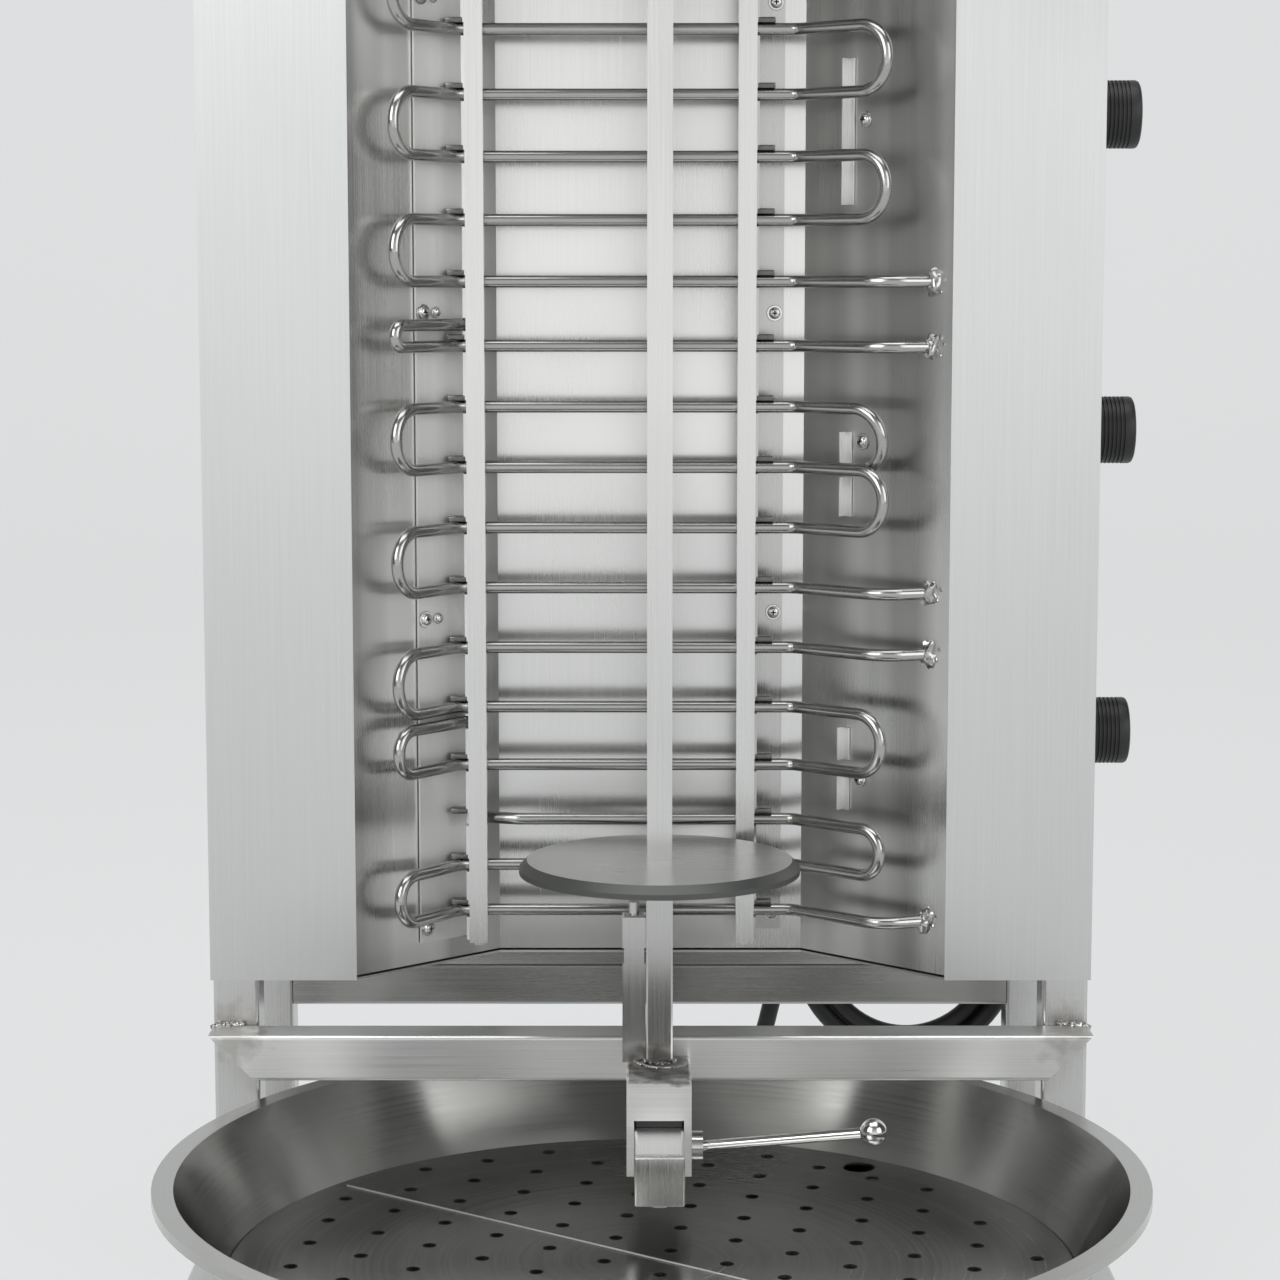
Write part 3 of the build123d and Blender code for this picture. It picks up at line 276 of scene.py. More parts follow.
@dataclass(frozen=True)
class TintAndShade:
    """A soft dark mark on steel: heat tint beside a weld, and painted shade on the saddle's top."""

    centre: Triple
    reach: Triple
    color: Color
    strength: float


@dataclass(frozen=True)
class SteelFinish:
    """Brushed or polished stainless steel."""

    name: str
    color: Color
    grain: Grain
    roughness: float = 0.30
    streak: float = 0.10
    anisotropy: float = 0.0
    mottle: float = 0.05
    bump: float = 0.03
    centre: Pair = (0.0, 0.0)
    # Colour of faces that don't face up or down: painted shade on the sides.
    shade_rim: Color | None = None
    # Share of light bands painted into the colour as reflections.
    reflection_bands: float = 0.0
    tints_and_shades: tuple[TintAndShade, ...] = ()

    def lines(self, nodes: Surface) -> Socket:
        """The grain's lines, which also turn the shader's tangent across them.

        Args:
            nodes: The material's nodes.

        Returns:
            A value socket from 0 to 1.
        """
        if self.grain is Grain.CLOUDY:
            return nodes.cloud(nodes.coordinates(self.grain.value), 1.0, 4.0)
        across = nodes.add("VectorMath", operation="CROSS_PRODUCT")
        nodes.join(nodes.add("NewGeometry").outputs["Normal"], across.inputs[0])
        nodes.put(Tangent=across.outputs["Vector"])
        if self.grain is not Grain.RINGS:
            across.inputs[1].default_value = self.grain.along()
            return nodes.cloud(nodes.coordinates(self.grain.value), 1.0, 4.0)
        place = nodes.coordinates(centre=at(*self.centre, 0.0))
        round_it = nodes.add("VectorMath", operation="CROSS_PRODUCT")
        round_it.inputs[0].default_value = (0, 0, 1)
        nodes.join(place, round_it.inputs[1])
        nodes.join(round_it.outputs["Vector"], across.inputs[1])
        split = nodes.add("SeparateXYZ", {"Vector": place})
        square = nodes.math("ADD", nodes.math("MULTIPLY", split.outputs["X"], split.outputs["X"]),
                            nodes.math("MULTIPLY", split.outputs["Y"], split.outputs["Y"]))
        ring = nodes.add("CombineXYZ", {"X": nodes.math("SQRT", square), "Y": split.outputs["Z"]})
        return nodes.cloud(ring.outputs["Vector"], RING_CELLS, 4.0)

    def material(self) -> bpy.types.Material:
        """Build the material.

        Returns:
            The finished material.
        """
        nodes = Surface(self.name)
        lines = self.lines(nodes)
        clouds = nodes.cloud(nodes.coordinates(), 7.0, 2.0)
        dark = tuple(c * (1.0 - self.streak) for c in self.color)
        light = tuple(min(1.0, c * (1.0 + 0.6 * self.streak)) for c in self.color)
        color = nodes.blend(nodes.spread(lines, 0.0, 1.0), dark, light)
        # Light vertical bands blended into the colour: painted reflections in the wings.
        if self.reflection_bands:
            reflection_band = nodes.cloud(nodes.coordinates(REFLECTION_BAND_CELLS), 1.0, 1.0)
            color = nodes.blend(nodes.spread(reflection_band, 0.0, self.reflection_bands, 0.42, 0.62), color, REFLECTION_BAND_COLOR)
        rough = nodes.math("ADD", nodes.spread(lines, self.roughness - 0.5 * self.streak,
                                               self.roughness + 0.5 * self.streak),
                           nodes.spread(clouds, -self.mottle, self.mottle))
        # Each mark darkens the colour within its reach: heat tint, and on the saddle's top painted shade.
        for tint_and_shade in self.tints_and_shades:
            spot = nodes.coordinates(tuple(1.0 / (r * MM) for r in tint_and_shade.reach), at(*tint_and_shade.centre))
            length = nodes.add("VectorMath", operation="LENGTH")
            nodes.join(spot, length.inputs[0])
            ragged = nodes.math("ADD", length.outputs["Value"],
                                nodes.spread(nodes.cloud(nodes.coordinates(), 90.0, 4.0), -0.5, 0.5))
            amount = nodes.spread(ragged, tint_and_shade.strength, 0.0, 0.35, 1.1)
            color = nodes.blend(amount, color, tint_and_shade.color)
        # Faces that don't face up or down get this darker colour and more roughness: painted shade on the edge.
        if self.shade_rim is not None:
            facing = nodes.add("SeparateXYZ", {"Vector": nodes.add("NewGeometry").outputs["Normal"]})
            edge = nodes.spread(nodes.math("ABSOLUTE", facing.outputs["Z"]), 1.0, 0.0, 0.75, 0.95)
            color = nodes.blend(edge, color, self.shade_rim)
            rough = nodes.math("ADD", rough, nodes.math("MULTIPLY", edge, 0.2))
        nodes.put(Base_Color=color, Roughness=rough, Metallic=1.0, Anisotropic=self.anisotropy)
        nodes.relief(lines, self.bump, 0.0001)
        return nodes.material


@dataclass(frozen=True)
class MatteFinish:
    """Plastic, rubber or paint with a fine texture."""

    name: str
    color: Color
    roughness: float = 0.5
    cell: float = 900.0
    bump: float = 0.1
    coat: float = 0.0

    def material(self) -> bpy.types.Material:
        """Build the material.

        Returns:
            The finished material.
        """
        nodes = Surface(self.name)
        grit = nodes.cloud(nodes.coordinates(), self.cell, 3.0)
        patch = nodes.cloud(nodes.coordinates(), 25.0, 2.0)
        lighter = tuple(min(1.0, c * 1.5 + 0.004) for c in self.color)
        nodes.put(Base_Color=nodes.blend(nodes.spread(patch, 0.0, 1.0), self.color, lighter),
                  Roughness=nodes.spread(grit, self.roughness - 0.06, self.roughness + 0.08),
                  Metallic=0.0, Coat_Weight=self.coat)
        nodes.relief(grit, self.bump, 0.0002)
        return nodes.material


@dataclass(frozen=True)
class BrassFinish:
    """Turned brass, a little tarnished."""

    name: str
    color: Color

    def material(self) -> bpy.types.Material:
        """Build the material.

        Returns:
            The finished material.
        """
        nodes = Surface(self.name)
        patch = nodes.cloud(nodes.coordinates(), 140.0, 3.0)
        dull = tuple(c * 0.6 for c in self.color)
        nodes.put(Base_Color=nodes.blend(nodes.spread(patch, 0.0, 1.0), self.color, dull),
                  Roughness=nodes.spread(patch, 0.25, 0.45), Metallic=1.0)
        return nodes.material


UPRIGHT, ACROSS, DEPTH, CLOUDY, RINGS = Grain
SADDLE_Z = CAB_Z - 43.0
PLAIN = (0.60, 0.60, 0.595)
BURN = (0.16, 0.13, 0.11)
WELD_MARKS = tuple(TintAndShade((x, -15, CAB_Z - 34), (26, 40, 20), (0.30, 0.28, 0.26), 0.55)
                   for x in (-276.0, 276.0))
FINISHES = (
    SteelFinish("flange_steel", (0.66, 0.665, 0.665), UPRIGHT, 0.36, 0.05, 0.6),
    SteelFinish("wing_steel", (0.40, 0.40, 0.39), UPRIGHT, 0.30, 0.06, 0.6, reflection_bands=0.55),
    SteelFinish("reflector_steel", (0.74, 0.74, 0.73), UPRIGHT, 0.24, 0.05, 0.7),
    SteelFinish("plate_steel", PLAIN, ACROSS, 0.32, 0.08, 0.5),
    SteelFinish("leg_steel", (0.62, 0.62, 0.61), UPRIGHT, 0.28, 0.08, 0.6, tints_and_shades=WELD_MARKS),
    SteelFinish("crossbar_steel", (0.80, 0.81, 0.80), ACROSS, 0.34, 0.08, 0.6, tints_and_shades=WELD_MARKS),
    SteelFinish("rail_steel", PLAIN, DEPTH, 0.30, 0.08, 0.5),
    SteelFinish("element_steel", (0.44, 0.44, 0.43), ACROSS, 0.20, 0.10, mottle=0.04),
    SteelFinish("strip_steel", (0.55, 0.55, 0.54), UPRIGHT, 0.27, 0.10, 0.6),
    SteelFinish("guard_steel", (0.70, 0.70, 0.69), UPRIGHT, 0.28, 0.06, 0.5),
    SteelFinish("light_strip_steel", (0.86, 0.86, 0.85), UPRIGHT, 0.52, 0.04),
    # Near-black steel of the row clips: painted shade.
    SteelFinish("painted_shade_clip_steel", (0.17, 0.17, 0.17), CLOUDY, 0.30, 0.20, 0.0, 0.08, 0.3),
    SteelFinish("spit_steel", (0.68, 0.68, 0.67), UPRIGHT, 0.26, 0.07, 0.5),
    SteelFinish("disc_steel", (0.68, 0.69, 0.68), ACROSS, 0.30, 0.08, shade_rim=(0.13, 0.135, 0.13)),
    SteelFinish("pan_steel", (0.47, 0.47, 0.455), RINGS, 0.20, 0.06, 0.75, 0.03, 0.04, (0.0, PAN_Y)),
    SteelFinish("strainer_steel", (0.50, 0.50, 0.485), RINGS, 0.22, 0.08, 0.5, 0.06, 0.04, (0.0, PAN_Y)),
    SteelFinish("post_steel", (0.55, 0.55, 0.54), UPRIGHT, 0.22, 0.10, 0.5, tints_and_shades=(
        TintAndShade((SPIT_X, SPIT_Y, SADDLE_Z), (16, 16, 14), BURN, 0.8),
        TintAndShade((SPIT_X - 16, -38.6, SADDLE_Z), (14, 14, 12), BURN, 0.7))),
    SteelFinish("saddle_steel", (0.90, 0.90, 0.89), ACROSS, 0.44, 0.08, tints_and_shades=(
        # The two grey marks on the saddle's top are painted shade; the brown one is heat tint.
        TintAndShade((SPIT_X, SPIT_Y - 14, SADDLE_Z + 1), (44, 50, 3), (0.13, 0.13, 0.13), 0.95),
        TintAndShade((SPIT_X - 4, SPIT_Y, SADDLE_Z + 2), (22, 22, 6), BURN, 0.85),
        TintAndShade((SPIT_X + 8, SPIT_Y - 26, SADDLE_Z), (18, 16, 6), (0.20, 0.20, 0.24), 0.5))),
    SteelFinish("arm_steel", (0.85, 0.85, 0.84), DEPTH, 0.40, 0.08, 0.5),
    SteelFinish("cap_steel", (0.60, 0.60, 0.59), UPRIGHT, 0.30, 0.12, 0.5),
    SteelFinish("polished_steel", (0.70, 0.70, 0.69), CLOUDY, 0.14, 0.04, 0.0, 0.03, 0.02),
    SteelFinish("weld_steel", (0.46, 0.46, 0.45), CLOUDY, 0.24, 0.20, 0.0, 0.08, 0.35),
    SteelFinish("gear_steel", (0.48, 0.48, 0.47), CLOUDY, 0.32, 0.10),
    BrassFinish("ring_brass", (0.70, 0.55, 0.30)),
    MatteFinish("black_plastic", (0.007, 0.007, 0.008), 0.45, 1400.0, 0.12),
    MatteFinish("pad_plastic", (0.018, 0.018, 0.018), 0.5),
    MatteFinish("foot_rubber", (0.016, 0.016, 0.017), 0.6, 700.0, 0.25),
    MatteFinish("cord_rubber", (0.012, 0.012, 0.013), 0.48, 900.0, 0.1),
    MatteFinish("motor_paint", (0.035, 0.037, 0.04), 0.38, 500.0, 0.15, 0.3),
    SteelFinish("valance_steel", (0.42, 0.42, 0.41), ACROSS, 0.26, 0.07, 0.5),
    MatteFinish("pointer_white", (0.62, 0.62, 0.60), 0.5),
    # Black for painted shade: the screws' cross recesses, the motor's vents, and round and under the strainer's
    # holes.
    MatteFinish("painted_shade_black", (0.004, 0.004, 0.004), 0.8),
)
# The made materials by their finish's name; the frame's own materials may have the same names.
MATERIALS: dict[str, bpy.types.Material] = {}


class Workpiece:
    """A mesh in the making, in row-frame metres once it is placed."""

    def __init__(self) -> None:
        """Start empty."""
        self.mesh = bmesh.new()

    def lathe(self, profile: Profile, steps: int = 64) -> "Workpiece":
        """Turn a profile about the Z axis.

        Args:
            profile: Radius and height pairs in millimetres, ends on the axis.
            steps: Segments round the axis.

        Returns:
            This piece.
        """
        verts = [self.mesh.verts.new((r * MM, 0.0, h * MM)) for r, h in profile]
        edges = [self.mesh.edges.new(pair) for pair in zip(verts, verts[1:])]
        bmesh.ops.spin(self.mesh, geom=verts + edges, cent=(0, 0, 0), axis=(0, 0, 1),
                       angle=math.tau, steps=steps, use_merge=True)
        bmesh.ops.remove_doubles(self.mesh, verts=self.mesh.verts, dist=1e-7)
        return self

    def repeat(self, pattern: "Workpiece", places: list[Matrix]) -> "Workpiece":
        """Add a copy of a pattern at each place, and drop the pattern.

        Args:
            pattern: Piece to copy.
            places: A matrix for each copy.

        Returns:
            This piece.
        """
        for place in places:
            data = bpy.data.meshes.new("pattern")
            pattern.mesh.to_mesh(data)
            data.transform(place)
            self.mesh.from_mesh(data)
            bpy.data.meshes.remove(data)
        pattern.mesh.free()
        return self

    def brick(self, size: Triple, centre: Triple = (0, 0, 0)) -> "Workpiece":
        """Add a block.

        Args:
            size: Full lengths in millimetres.
            centre: Middle in millimetres.

        Returns:
            This piece.
        """
        matrix = Matrix.Translation(Vector(centre) * MM) @ Matrix.Diagonal((*[s * MM for s in size], 1.0))
        bmesh.ops.create_cube(self.mesh, size=1.0, matrix=matrix)
        return self

    def lump(self, centre: Vector, radii: Triple, seed: float, rough: float = 0.35,
             fineness: int = 3) -> "Workpiece":
        """Add an uneven blob of weld metal.

        Args:
            centre: Row-frame point in metres.
            radii: Half lengths in millimetres.
            seed: Offset into the noise.
            rough: Unevenness, as a share of the radius.
            fineness: Subdivisions of the ball.

        Returns:
            This piece.
        """
        made = bmesh.ops.create_icosphere(self.mesh, subdivisions=fineness, radius=1.0)
        for vert in made["verts"]:
            direction = vert.co.normalized()
            swell = 1.0 + rough * noise.noise(direction * 1.7 + Vector((seed, 0, 0)))
            swell += 0.4 * rough * noise.noise(direction * 4.5 + Vector((0, seed, 0)))
            vert.co = centre + Vector([d * swell * r * MM for d, r in zip(direction, radii)])
        return self

    def bead(self, route: list[Vector], radius: float, seed: float, flat: float = 1.0) -> "Workpiece":
        """Add a weld bead: overlapping blobs along a route.

        Args:
            route: Row-frame corners in metres.
            radius: Half width in millimetres.
            seed: Offset into the noise.
            flat: Height as a share of the width.

        Returns:
            This piece.
        """
        for start, end in zip(route, route[1:]):
            count = max(1, round((end - start).length / (radius * MM * 1.1)))
            for n in range(count + 1):
                swell = 1.0 + 0.25 * noise.noise(Vector((seed, n * 0.7, 0.0)))
                self.lump(start.lerp(end, n / count), (radius * swell, radius * swell, radius * swell * flat),
                          seed + n, 0.3, 2)
        return self

    def screw(self, radius: float, height: float) -> "Workpiece":
        """Add a pan-head screw on a thin washer, standing up from z = 0.

        Args:
            radius: Head radius in millimetres.
            height: Head height in millimetres.

        Returns:
            This piece.
        """
        wide = radius * 1.35
        return self.lathe([(0, 0), (wide, 0), (wide, 0.7), (wide - 0.3, 1), (radius, 1),
                           (radius * 0.98, 1.0 + height * 0.4), (radius * 0.8, 1.0 + height * 0.8),
                           (radius * 0.5, 1 + height), (0, 1 + height)], 24)

    def bevel(self, width: float, segments: int = 2) -> "Workpiece":
        """Round the sharp edges.

        Args:
            width: Millimetres.
            segments: Steps in the rounding.

        Returns:
            This piece.
        """
        sharp = [edge for edge in self.mesh.edges if edge.calc_face_angle(0.0) > BEVELLED]
        bmesh.ops.bevel(self.mesh, geom=sharp, offset=width * MM, segments=segments, profile=0.5,
                        affect="EDGES", material=-1, clamp_overlap=True)
        return self

    def move(self, matrix: Matrix) -> "Workpiece":
        """Transform every vertex."""
        bmesh.ops.transform(self.mesh, matrix=matrix, verts=self.mesh.verts)
        return self

    def into(self, name: str, body: str, finish: str, slot: str,
             replaces: tuple[str, ...] = ()) -> None:
        """Finish the piece as an object that rides on a body.

        Args:
            name: Object name.
            body: Body that it moves with.
            finish: Name of its material.
            slot: Not used.
            replaces: CAD nodes that it stands for.
        """
        bmesh.ops.recalc_face_normals(self.mesh, faces=self.mesh.faces)
        for face in self.mesh.faces:
            face.smooth = True
        for edge in self.mesh.edges:
            edge.smooth = edge.calc_face_angle(0.0) < SHADED_FLAT
        data = bpy.data.meshes.new(name)
        self.mesh.to_mesh(data)
        self.mesh.free()
        data.materials.append(MATERIALS[finish])
        piece = stand(name, data)
        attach(piece, body)
        if replaces:
            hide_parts(*replaces)
        LOG.info("%s: %d faces on %s", name, len(data.polygons), body)


# Finish of each CAD node.
WORN_BY = {
    "flange_steel": "side_panel_left side_panel_right",
    "wing_steel": "reflector_wing_left reflector_wing_right",
    "reflector_steel": "back_reflector",
    "plate_steel": "bottom_plate top_plate back_cover terminal_box gear_case motor_plate",
    "leg_steel": "front_leg_left front_leg_right rear_leg_left rear_leg_right",
    "crossbar_steel": "front_crossbar base_crossbars",
    "valance_steel": "rear_crossbar",
    "rail_steel": "base_rail_left base_rail_right top_rails",
    "element_steel": "heating_element_upper heating_element_middle heating_element_lower",
    "guard_steel": "guard_bar_left guard_bar_right",
    "light_strip_steel": "support_comb_left",
    "strip_steel": "support_comb_right terminal_collars cord_hook arm_spacer",
    "spit_steel": "spit_bar",
    "disc_steel": "meat_disc",
    "pan_steel": "drip_pan",
    "strainer_steel": "strainer_rear strainer_front",
    "post_steel": "bearing_post steady_post steady_head",
    "saddle_steel": "carriage_saddle",
    "arm_steel": "slide_arm",
    "polished_steel": "clamp_lever lever_ball panel_screws arm_bolt drive_socket",
    "gear_steel": "motor_pinion output_gear",
    "ring_brass": "thrust_ring",
    "black_plastic": "knob_upper knob_middle knob_lower rotary_switches cable_gland",
    "pad_plastic": "wear_pad",
    "foot_rubber": "feet plug cord_coil cord_tail",
    "motor_paint": "gear_motor",
}


class CadDressing:
    """Gives each carried-over CAD node its finish."""

    def dress(self) -> None:
        """Put the finishes on."""
        for finish, nodes in WORN_BY.items():
            for name in nodes.split():
                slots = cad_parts[name].data.materials
                slots.clear()
                slots.append(MATERIALS[finish])
            LOG.info("%s: %s", finish, nodes)


@dataclass
class CabinetDetails:
    """Small pieces of the cabinet: rear valance, welds, screws and the clamps on the right wing."""

    valance_half: float = 258.5
    valance_y: float = 194.0
    valance_t: float = 1.5
    valance_drop: float = 34.0
    wing_lean: float = 42.7
    comb_x: float = -122.5
    comb_y: float = 64.4
    comb_t: float = 2.0
    right_comb_x: float = 70.0
    clip: Triple = (11, 8, 3)
    row_front: float = 46.0
    row_half: float = 4.3
    rows: Levels = (661, 620, 578, 538, 497, 457, 415, 375, 335, 295, 255, 215, 175, 136, 99, 68, 37)
    pair: Pair = (-37.7, -27.2)
    pair_heads: Pair = (4.0, 2.7)
    screw_rows: Levels = (235, 437, 640)
    low_screw: float = 27.0
    right_x: float = 83.0
    right_y: float = 81.5
    right_rows: Levels = (28, 235, 436, 640)
    cover_rows: Levels = (30.0, 347.5, 665.0)
    cover_x: float = 270.0
    back_y: float = 225.5
    terminal: Pair = (183.0, 13.0)
    terminal_rows: Levels = (661, 457, 415, 255, 215, 37)
    clamps: Curve = ((543, 602), (507, 536), (336, 358), (302, 328), (138, 160), (104, 128))
    clamp_screws: Levels = (562, 352, 126)
    clamp_x: float = 131.5
    clamp_screw_x: float = 140.0
    head_h: float = 2.2
    recess_h: float = 3.1
    weld_size: Triple = (6.4, 5.6, 8.6)
    weld_spots: int = 7
    weld_reach: float = 7.5
    leg_welds: tuple[tuple[Route, float, float, float], ...] = (
        (((288, -1.5, -31), (284, -1, -29.5), (270, -1, -29.5)), 2.6, 4, 0.8),
        (((287, -1, -33), (276, -1, -42), (266, -1, -53), (260.5, -1, -60)), 1.7, 9, 1))

    def valance(self) -> None:
        """Sheet between the cabinet's floor and the rear crossbar."""
        width, depth = 2 * self.valance_half, self.valance_t
        middle = at(0.0, self.valance_y + depth / 2, CAB_Z - self.valance_drop / 2)
        Workpiece().brick((width, depth, self.valance_drop)).bevel(0.3).move(Matrix.Translation(middle)).into(
            "rear_valance", "frame", "valance_steel", "steel_sheet")

    def on_left_strip(self, along: float, height: float) -> Matrix:
        """Place on the front of the left comb's flange, with z pointing out of it.

        Args:
            along: Millimetres along the flange from its web.
            height: Millimetres above the cabinet's lower edge.

        Returns:
            The matrix.
        """
        lean = math.radians(self.wing_lean)
        place = at(self.comb_x + along * math.cos(lean) + self.comb_t * math.sin(lean),
                   self.comb_y + along * math.sin(lean) - self.comb_t * math.cos(lean), CAB_Z + height)
        return Matrix.Translation(place) @ Matrix.Rotation(lean, 4, "Z") @ Matrix.Rotation(math.pi / 2, 4, "X")

    def screw_places(self) -> list[Matrix]:
        """Places of the large screw heads on the combs, the clamps and the back cover.

        Returns:
            Matrices with z pointing out of the sheet.
        """
        forward, backward = (Matrix.Rotation(turn * math.pi / 2, 4, "X") for turn in (1, -1))
        found = [self.on_left_strip(self.pair[0], height) for height in (*self.screw_rows, self.low_screw)]
        found += [Matrix.Translation(at(self.right_x, self.right_y, CAB_Z + height)) @ forward
                  for height in self.right_rows]
        found += [self.on_right_wing(self.clamp_screw_x, height) for height in self.clamp_screws]
        found += [Matrix.Translation(at(x, self.back_y, CAB_Z + height)) @ backward
                  for height in self.cover_rows for x in (-self.cover_x, self.cover_x)]
        return found

    def screws(self) -> None:
        """Pan-head screws with washers, and black crosses on the large heads, painted as the shade in their cross
        recesses.
        """
        large, small = self.pair_heads
        pairs = [self.on_left_strip(self.pair[1], height) for height in self.screw_rows]
        Workpiece().repeat(Workpiece().screw(large, self.head_h), self.screw_places()).repeat(
            Workpiece().screw(small, self.head_h), pairs).into(
            "screws_with_washers", "frame", "polished_steel", "bracket", ("panel_screws",))
        middle = (0.0, 0.0, self.recess_h)
        cross = Workpiece().brick((3.4, 0.9, 0.3), middle).brick((0.9, 3.4, 0.3), middle)
        Workpiece().repeat(cross, self.screw_places()).into(
            "screw_recess_shade", "frame", "painted_shade_black", "bracket")

    def on_right_wing(self, x: float, height: float) -> Matrix:
        """Place on the front of the right wing, with z pointing out of it.

        Args:
            x: Millimetres to the right of the cabinet's middle.
            height: Millimetres above the cabinet's lower edge.

        Returns:
            The matrix.
        """
        lean = math.atan2(RECESS_D, HALF_OPEN - HALF_BACK)
        place = at(x, (HALF_OPEN - x) * math.tan(lean), CAB_Z + height)
        return Matrix.Translation(place) @ Matrix.Rotation(-lean, 4, "Z") @ Matrix.Rotation(math.pi / 2, 4, "X")

    def wing_clamps(self) -> None:
        """Narrow angle pieces on the right wing behind the bends."""
        piece = Workpiece()
        for low, high in self.clamps:
            angle = Workpiece().brick((6.5, high - low, 1.2), (0.0, 0.0, 0.6))
            angle.brick((1.2, high - low, 6), (-3, 0, 3)).bevel(0.25)
            piece.repeat(angle, [self.on_right_wing(self.clamp_x, (low + high) / 2)])
        piece.into("wing_clamps", "frame", "light_strip_steel", "bracket")

    def row_clips(self) -> None:
        """Spring clips that hold every row in its comb, near black as painted shade."""
        length, depth, thick = self.clip
        clip = Workpiece().brick((length + 0.6, depth + 0.6, thick + 0.6)).bevel(0.7)
        y, lift = self.row_front + depth / 2, CAB_Z + self.row_half + thick / 2
        Workpiece().repeat(clip, [Matrix.Translation(at(x, y, height + lift))
                                  for x in (self.comb_x - length / 2, self.right_comb_x + length / 2)
                                  for height in self.rows]).into(
            "row_clips", "frame", "painted_shade_clip_steel", "bracket")

    def terminal_welds(self) -> None:
        """Uneven weld blobs where the element ends pass through the right wing."""
        piece = Workpiece()
        x, y = self.terminal
        for number, height in enumerate(self.terminal_rows):
            centre = at(x, y - 1.0, CAB_Z + height)
            piece.lump(centre, self.weld_size, number * 3.1, 0.6)
            for spot in range(self.weld_spots):
                turn = 0.9 * spot + number
                reach = self.weld_reach + 2.0 * math.sin(5.0 * turn)
                shift = Vector((0.72 * reach * math.cos(turn), -0.66 * reach * math.cos(turn),
                                reach * math.sin(turn))) * MM
                piece.lump(centre + shift, (1.6, 1.3, 1.7), spot + number, 0.4, 2)
        piece.into("terminal_welds", "frame", "weld_steel", "bracket", ("terminal_collars",))

    def frame_welds(self) -> None:
        """Beads where the front crossbar meets the legs."""
        piece = Workpiece()
        for side in (-1, 1):
            for route, radius, seed, flat in self.leg_welds:
                piece.bead([at(side * x, y, CAB_Z + z) for x, y, z in route], radius, side * seed, flat)
        piece.into("frame_welds", "frame", "weld_steel", "steel_tube")

    def build(self) -> None:
        """Make every small piece of the cabinet."""
        self.valance()
        self.screws()
        self.wing_clamps()
        self.row_clips()
        self.terminal_welds()
        self.frame_welds()


@dataclass
class CarriageDetails:
    """Closed end of the arm and the welds of the posts."""

    arm_x: Pair = (-10.5, 20.5)
    arm_z: Pair = (-103.0, -72.0)
    arm_end: float = -153.0
    cap_reach: float = 8.0
    saddle_top: float = -43.0
    saddle_weld: Curve = ((-14.5, -33), (-10, -48), (-1, -59), (8, -62), (18, -58), (23, -52))
    post_reach: float = 9.5

    def arm_cap(self) -> None:
        """Block that closes the arm's front end."""
        (left, right), (low, high) = self.arm_x, self.arm_z
        size = (right - left, self.cap_reach, high - low)
        middle = at((left + right) / 2, self.arm_end - self.cap_reach / 2, CAB_Z + (low + high) / 2)
        Workpiece().brick(size).bevel(1.2, 3).move(Matrix.Translation(middle)).into(
            "arm_end_cap", "frame", "cap_steel", "steel_tube")

    def post_welds(self) -> None:
        """Weld beads round the posts on the saddle."""
        top = CAB_Z + self.saddle_top
        ring = [(SPIT_X + self.post_reach * math.cos(math.radians(a)),
                 SPIT_Y + self.post_reach * math.sin(math.radians(a))) for a in range(180, 361, 30)]
        piece = Workpiece().bead([at(x, y, top + 0.4) for x, y in self.saddle_weld], 1.3, 2.0, 0.8)
        piece.bead([at(x, y, top + 0.6) for x, y in ring], 2.0, 7.0, 0.8)
        piece.into("post_welds", "carriage", "weld_steel", "carriage")

    def build(self) -> None:
        """Make the pieces."""
        self.arm_cap()
        self.post_welds()


def span(name: str) -> tuple[Vector, Vector]:
    """Corners of a CAD node's box.

    Args:
        name: Name of the node.

    Returns:
        Lowest and highest corner in metres.
    """
    points = [vert.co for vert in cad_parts[name].data.vertices]
    return (Vector([min(p[i] for p in points) for i in range(3)]),
            Vector([max(p[i] for p in points) for i in range(3)]))


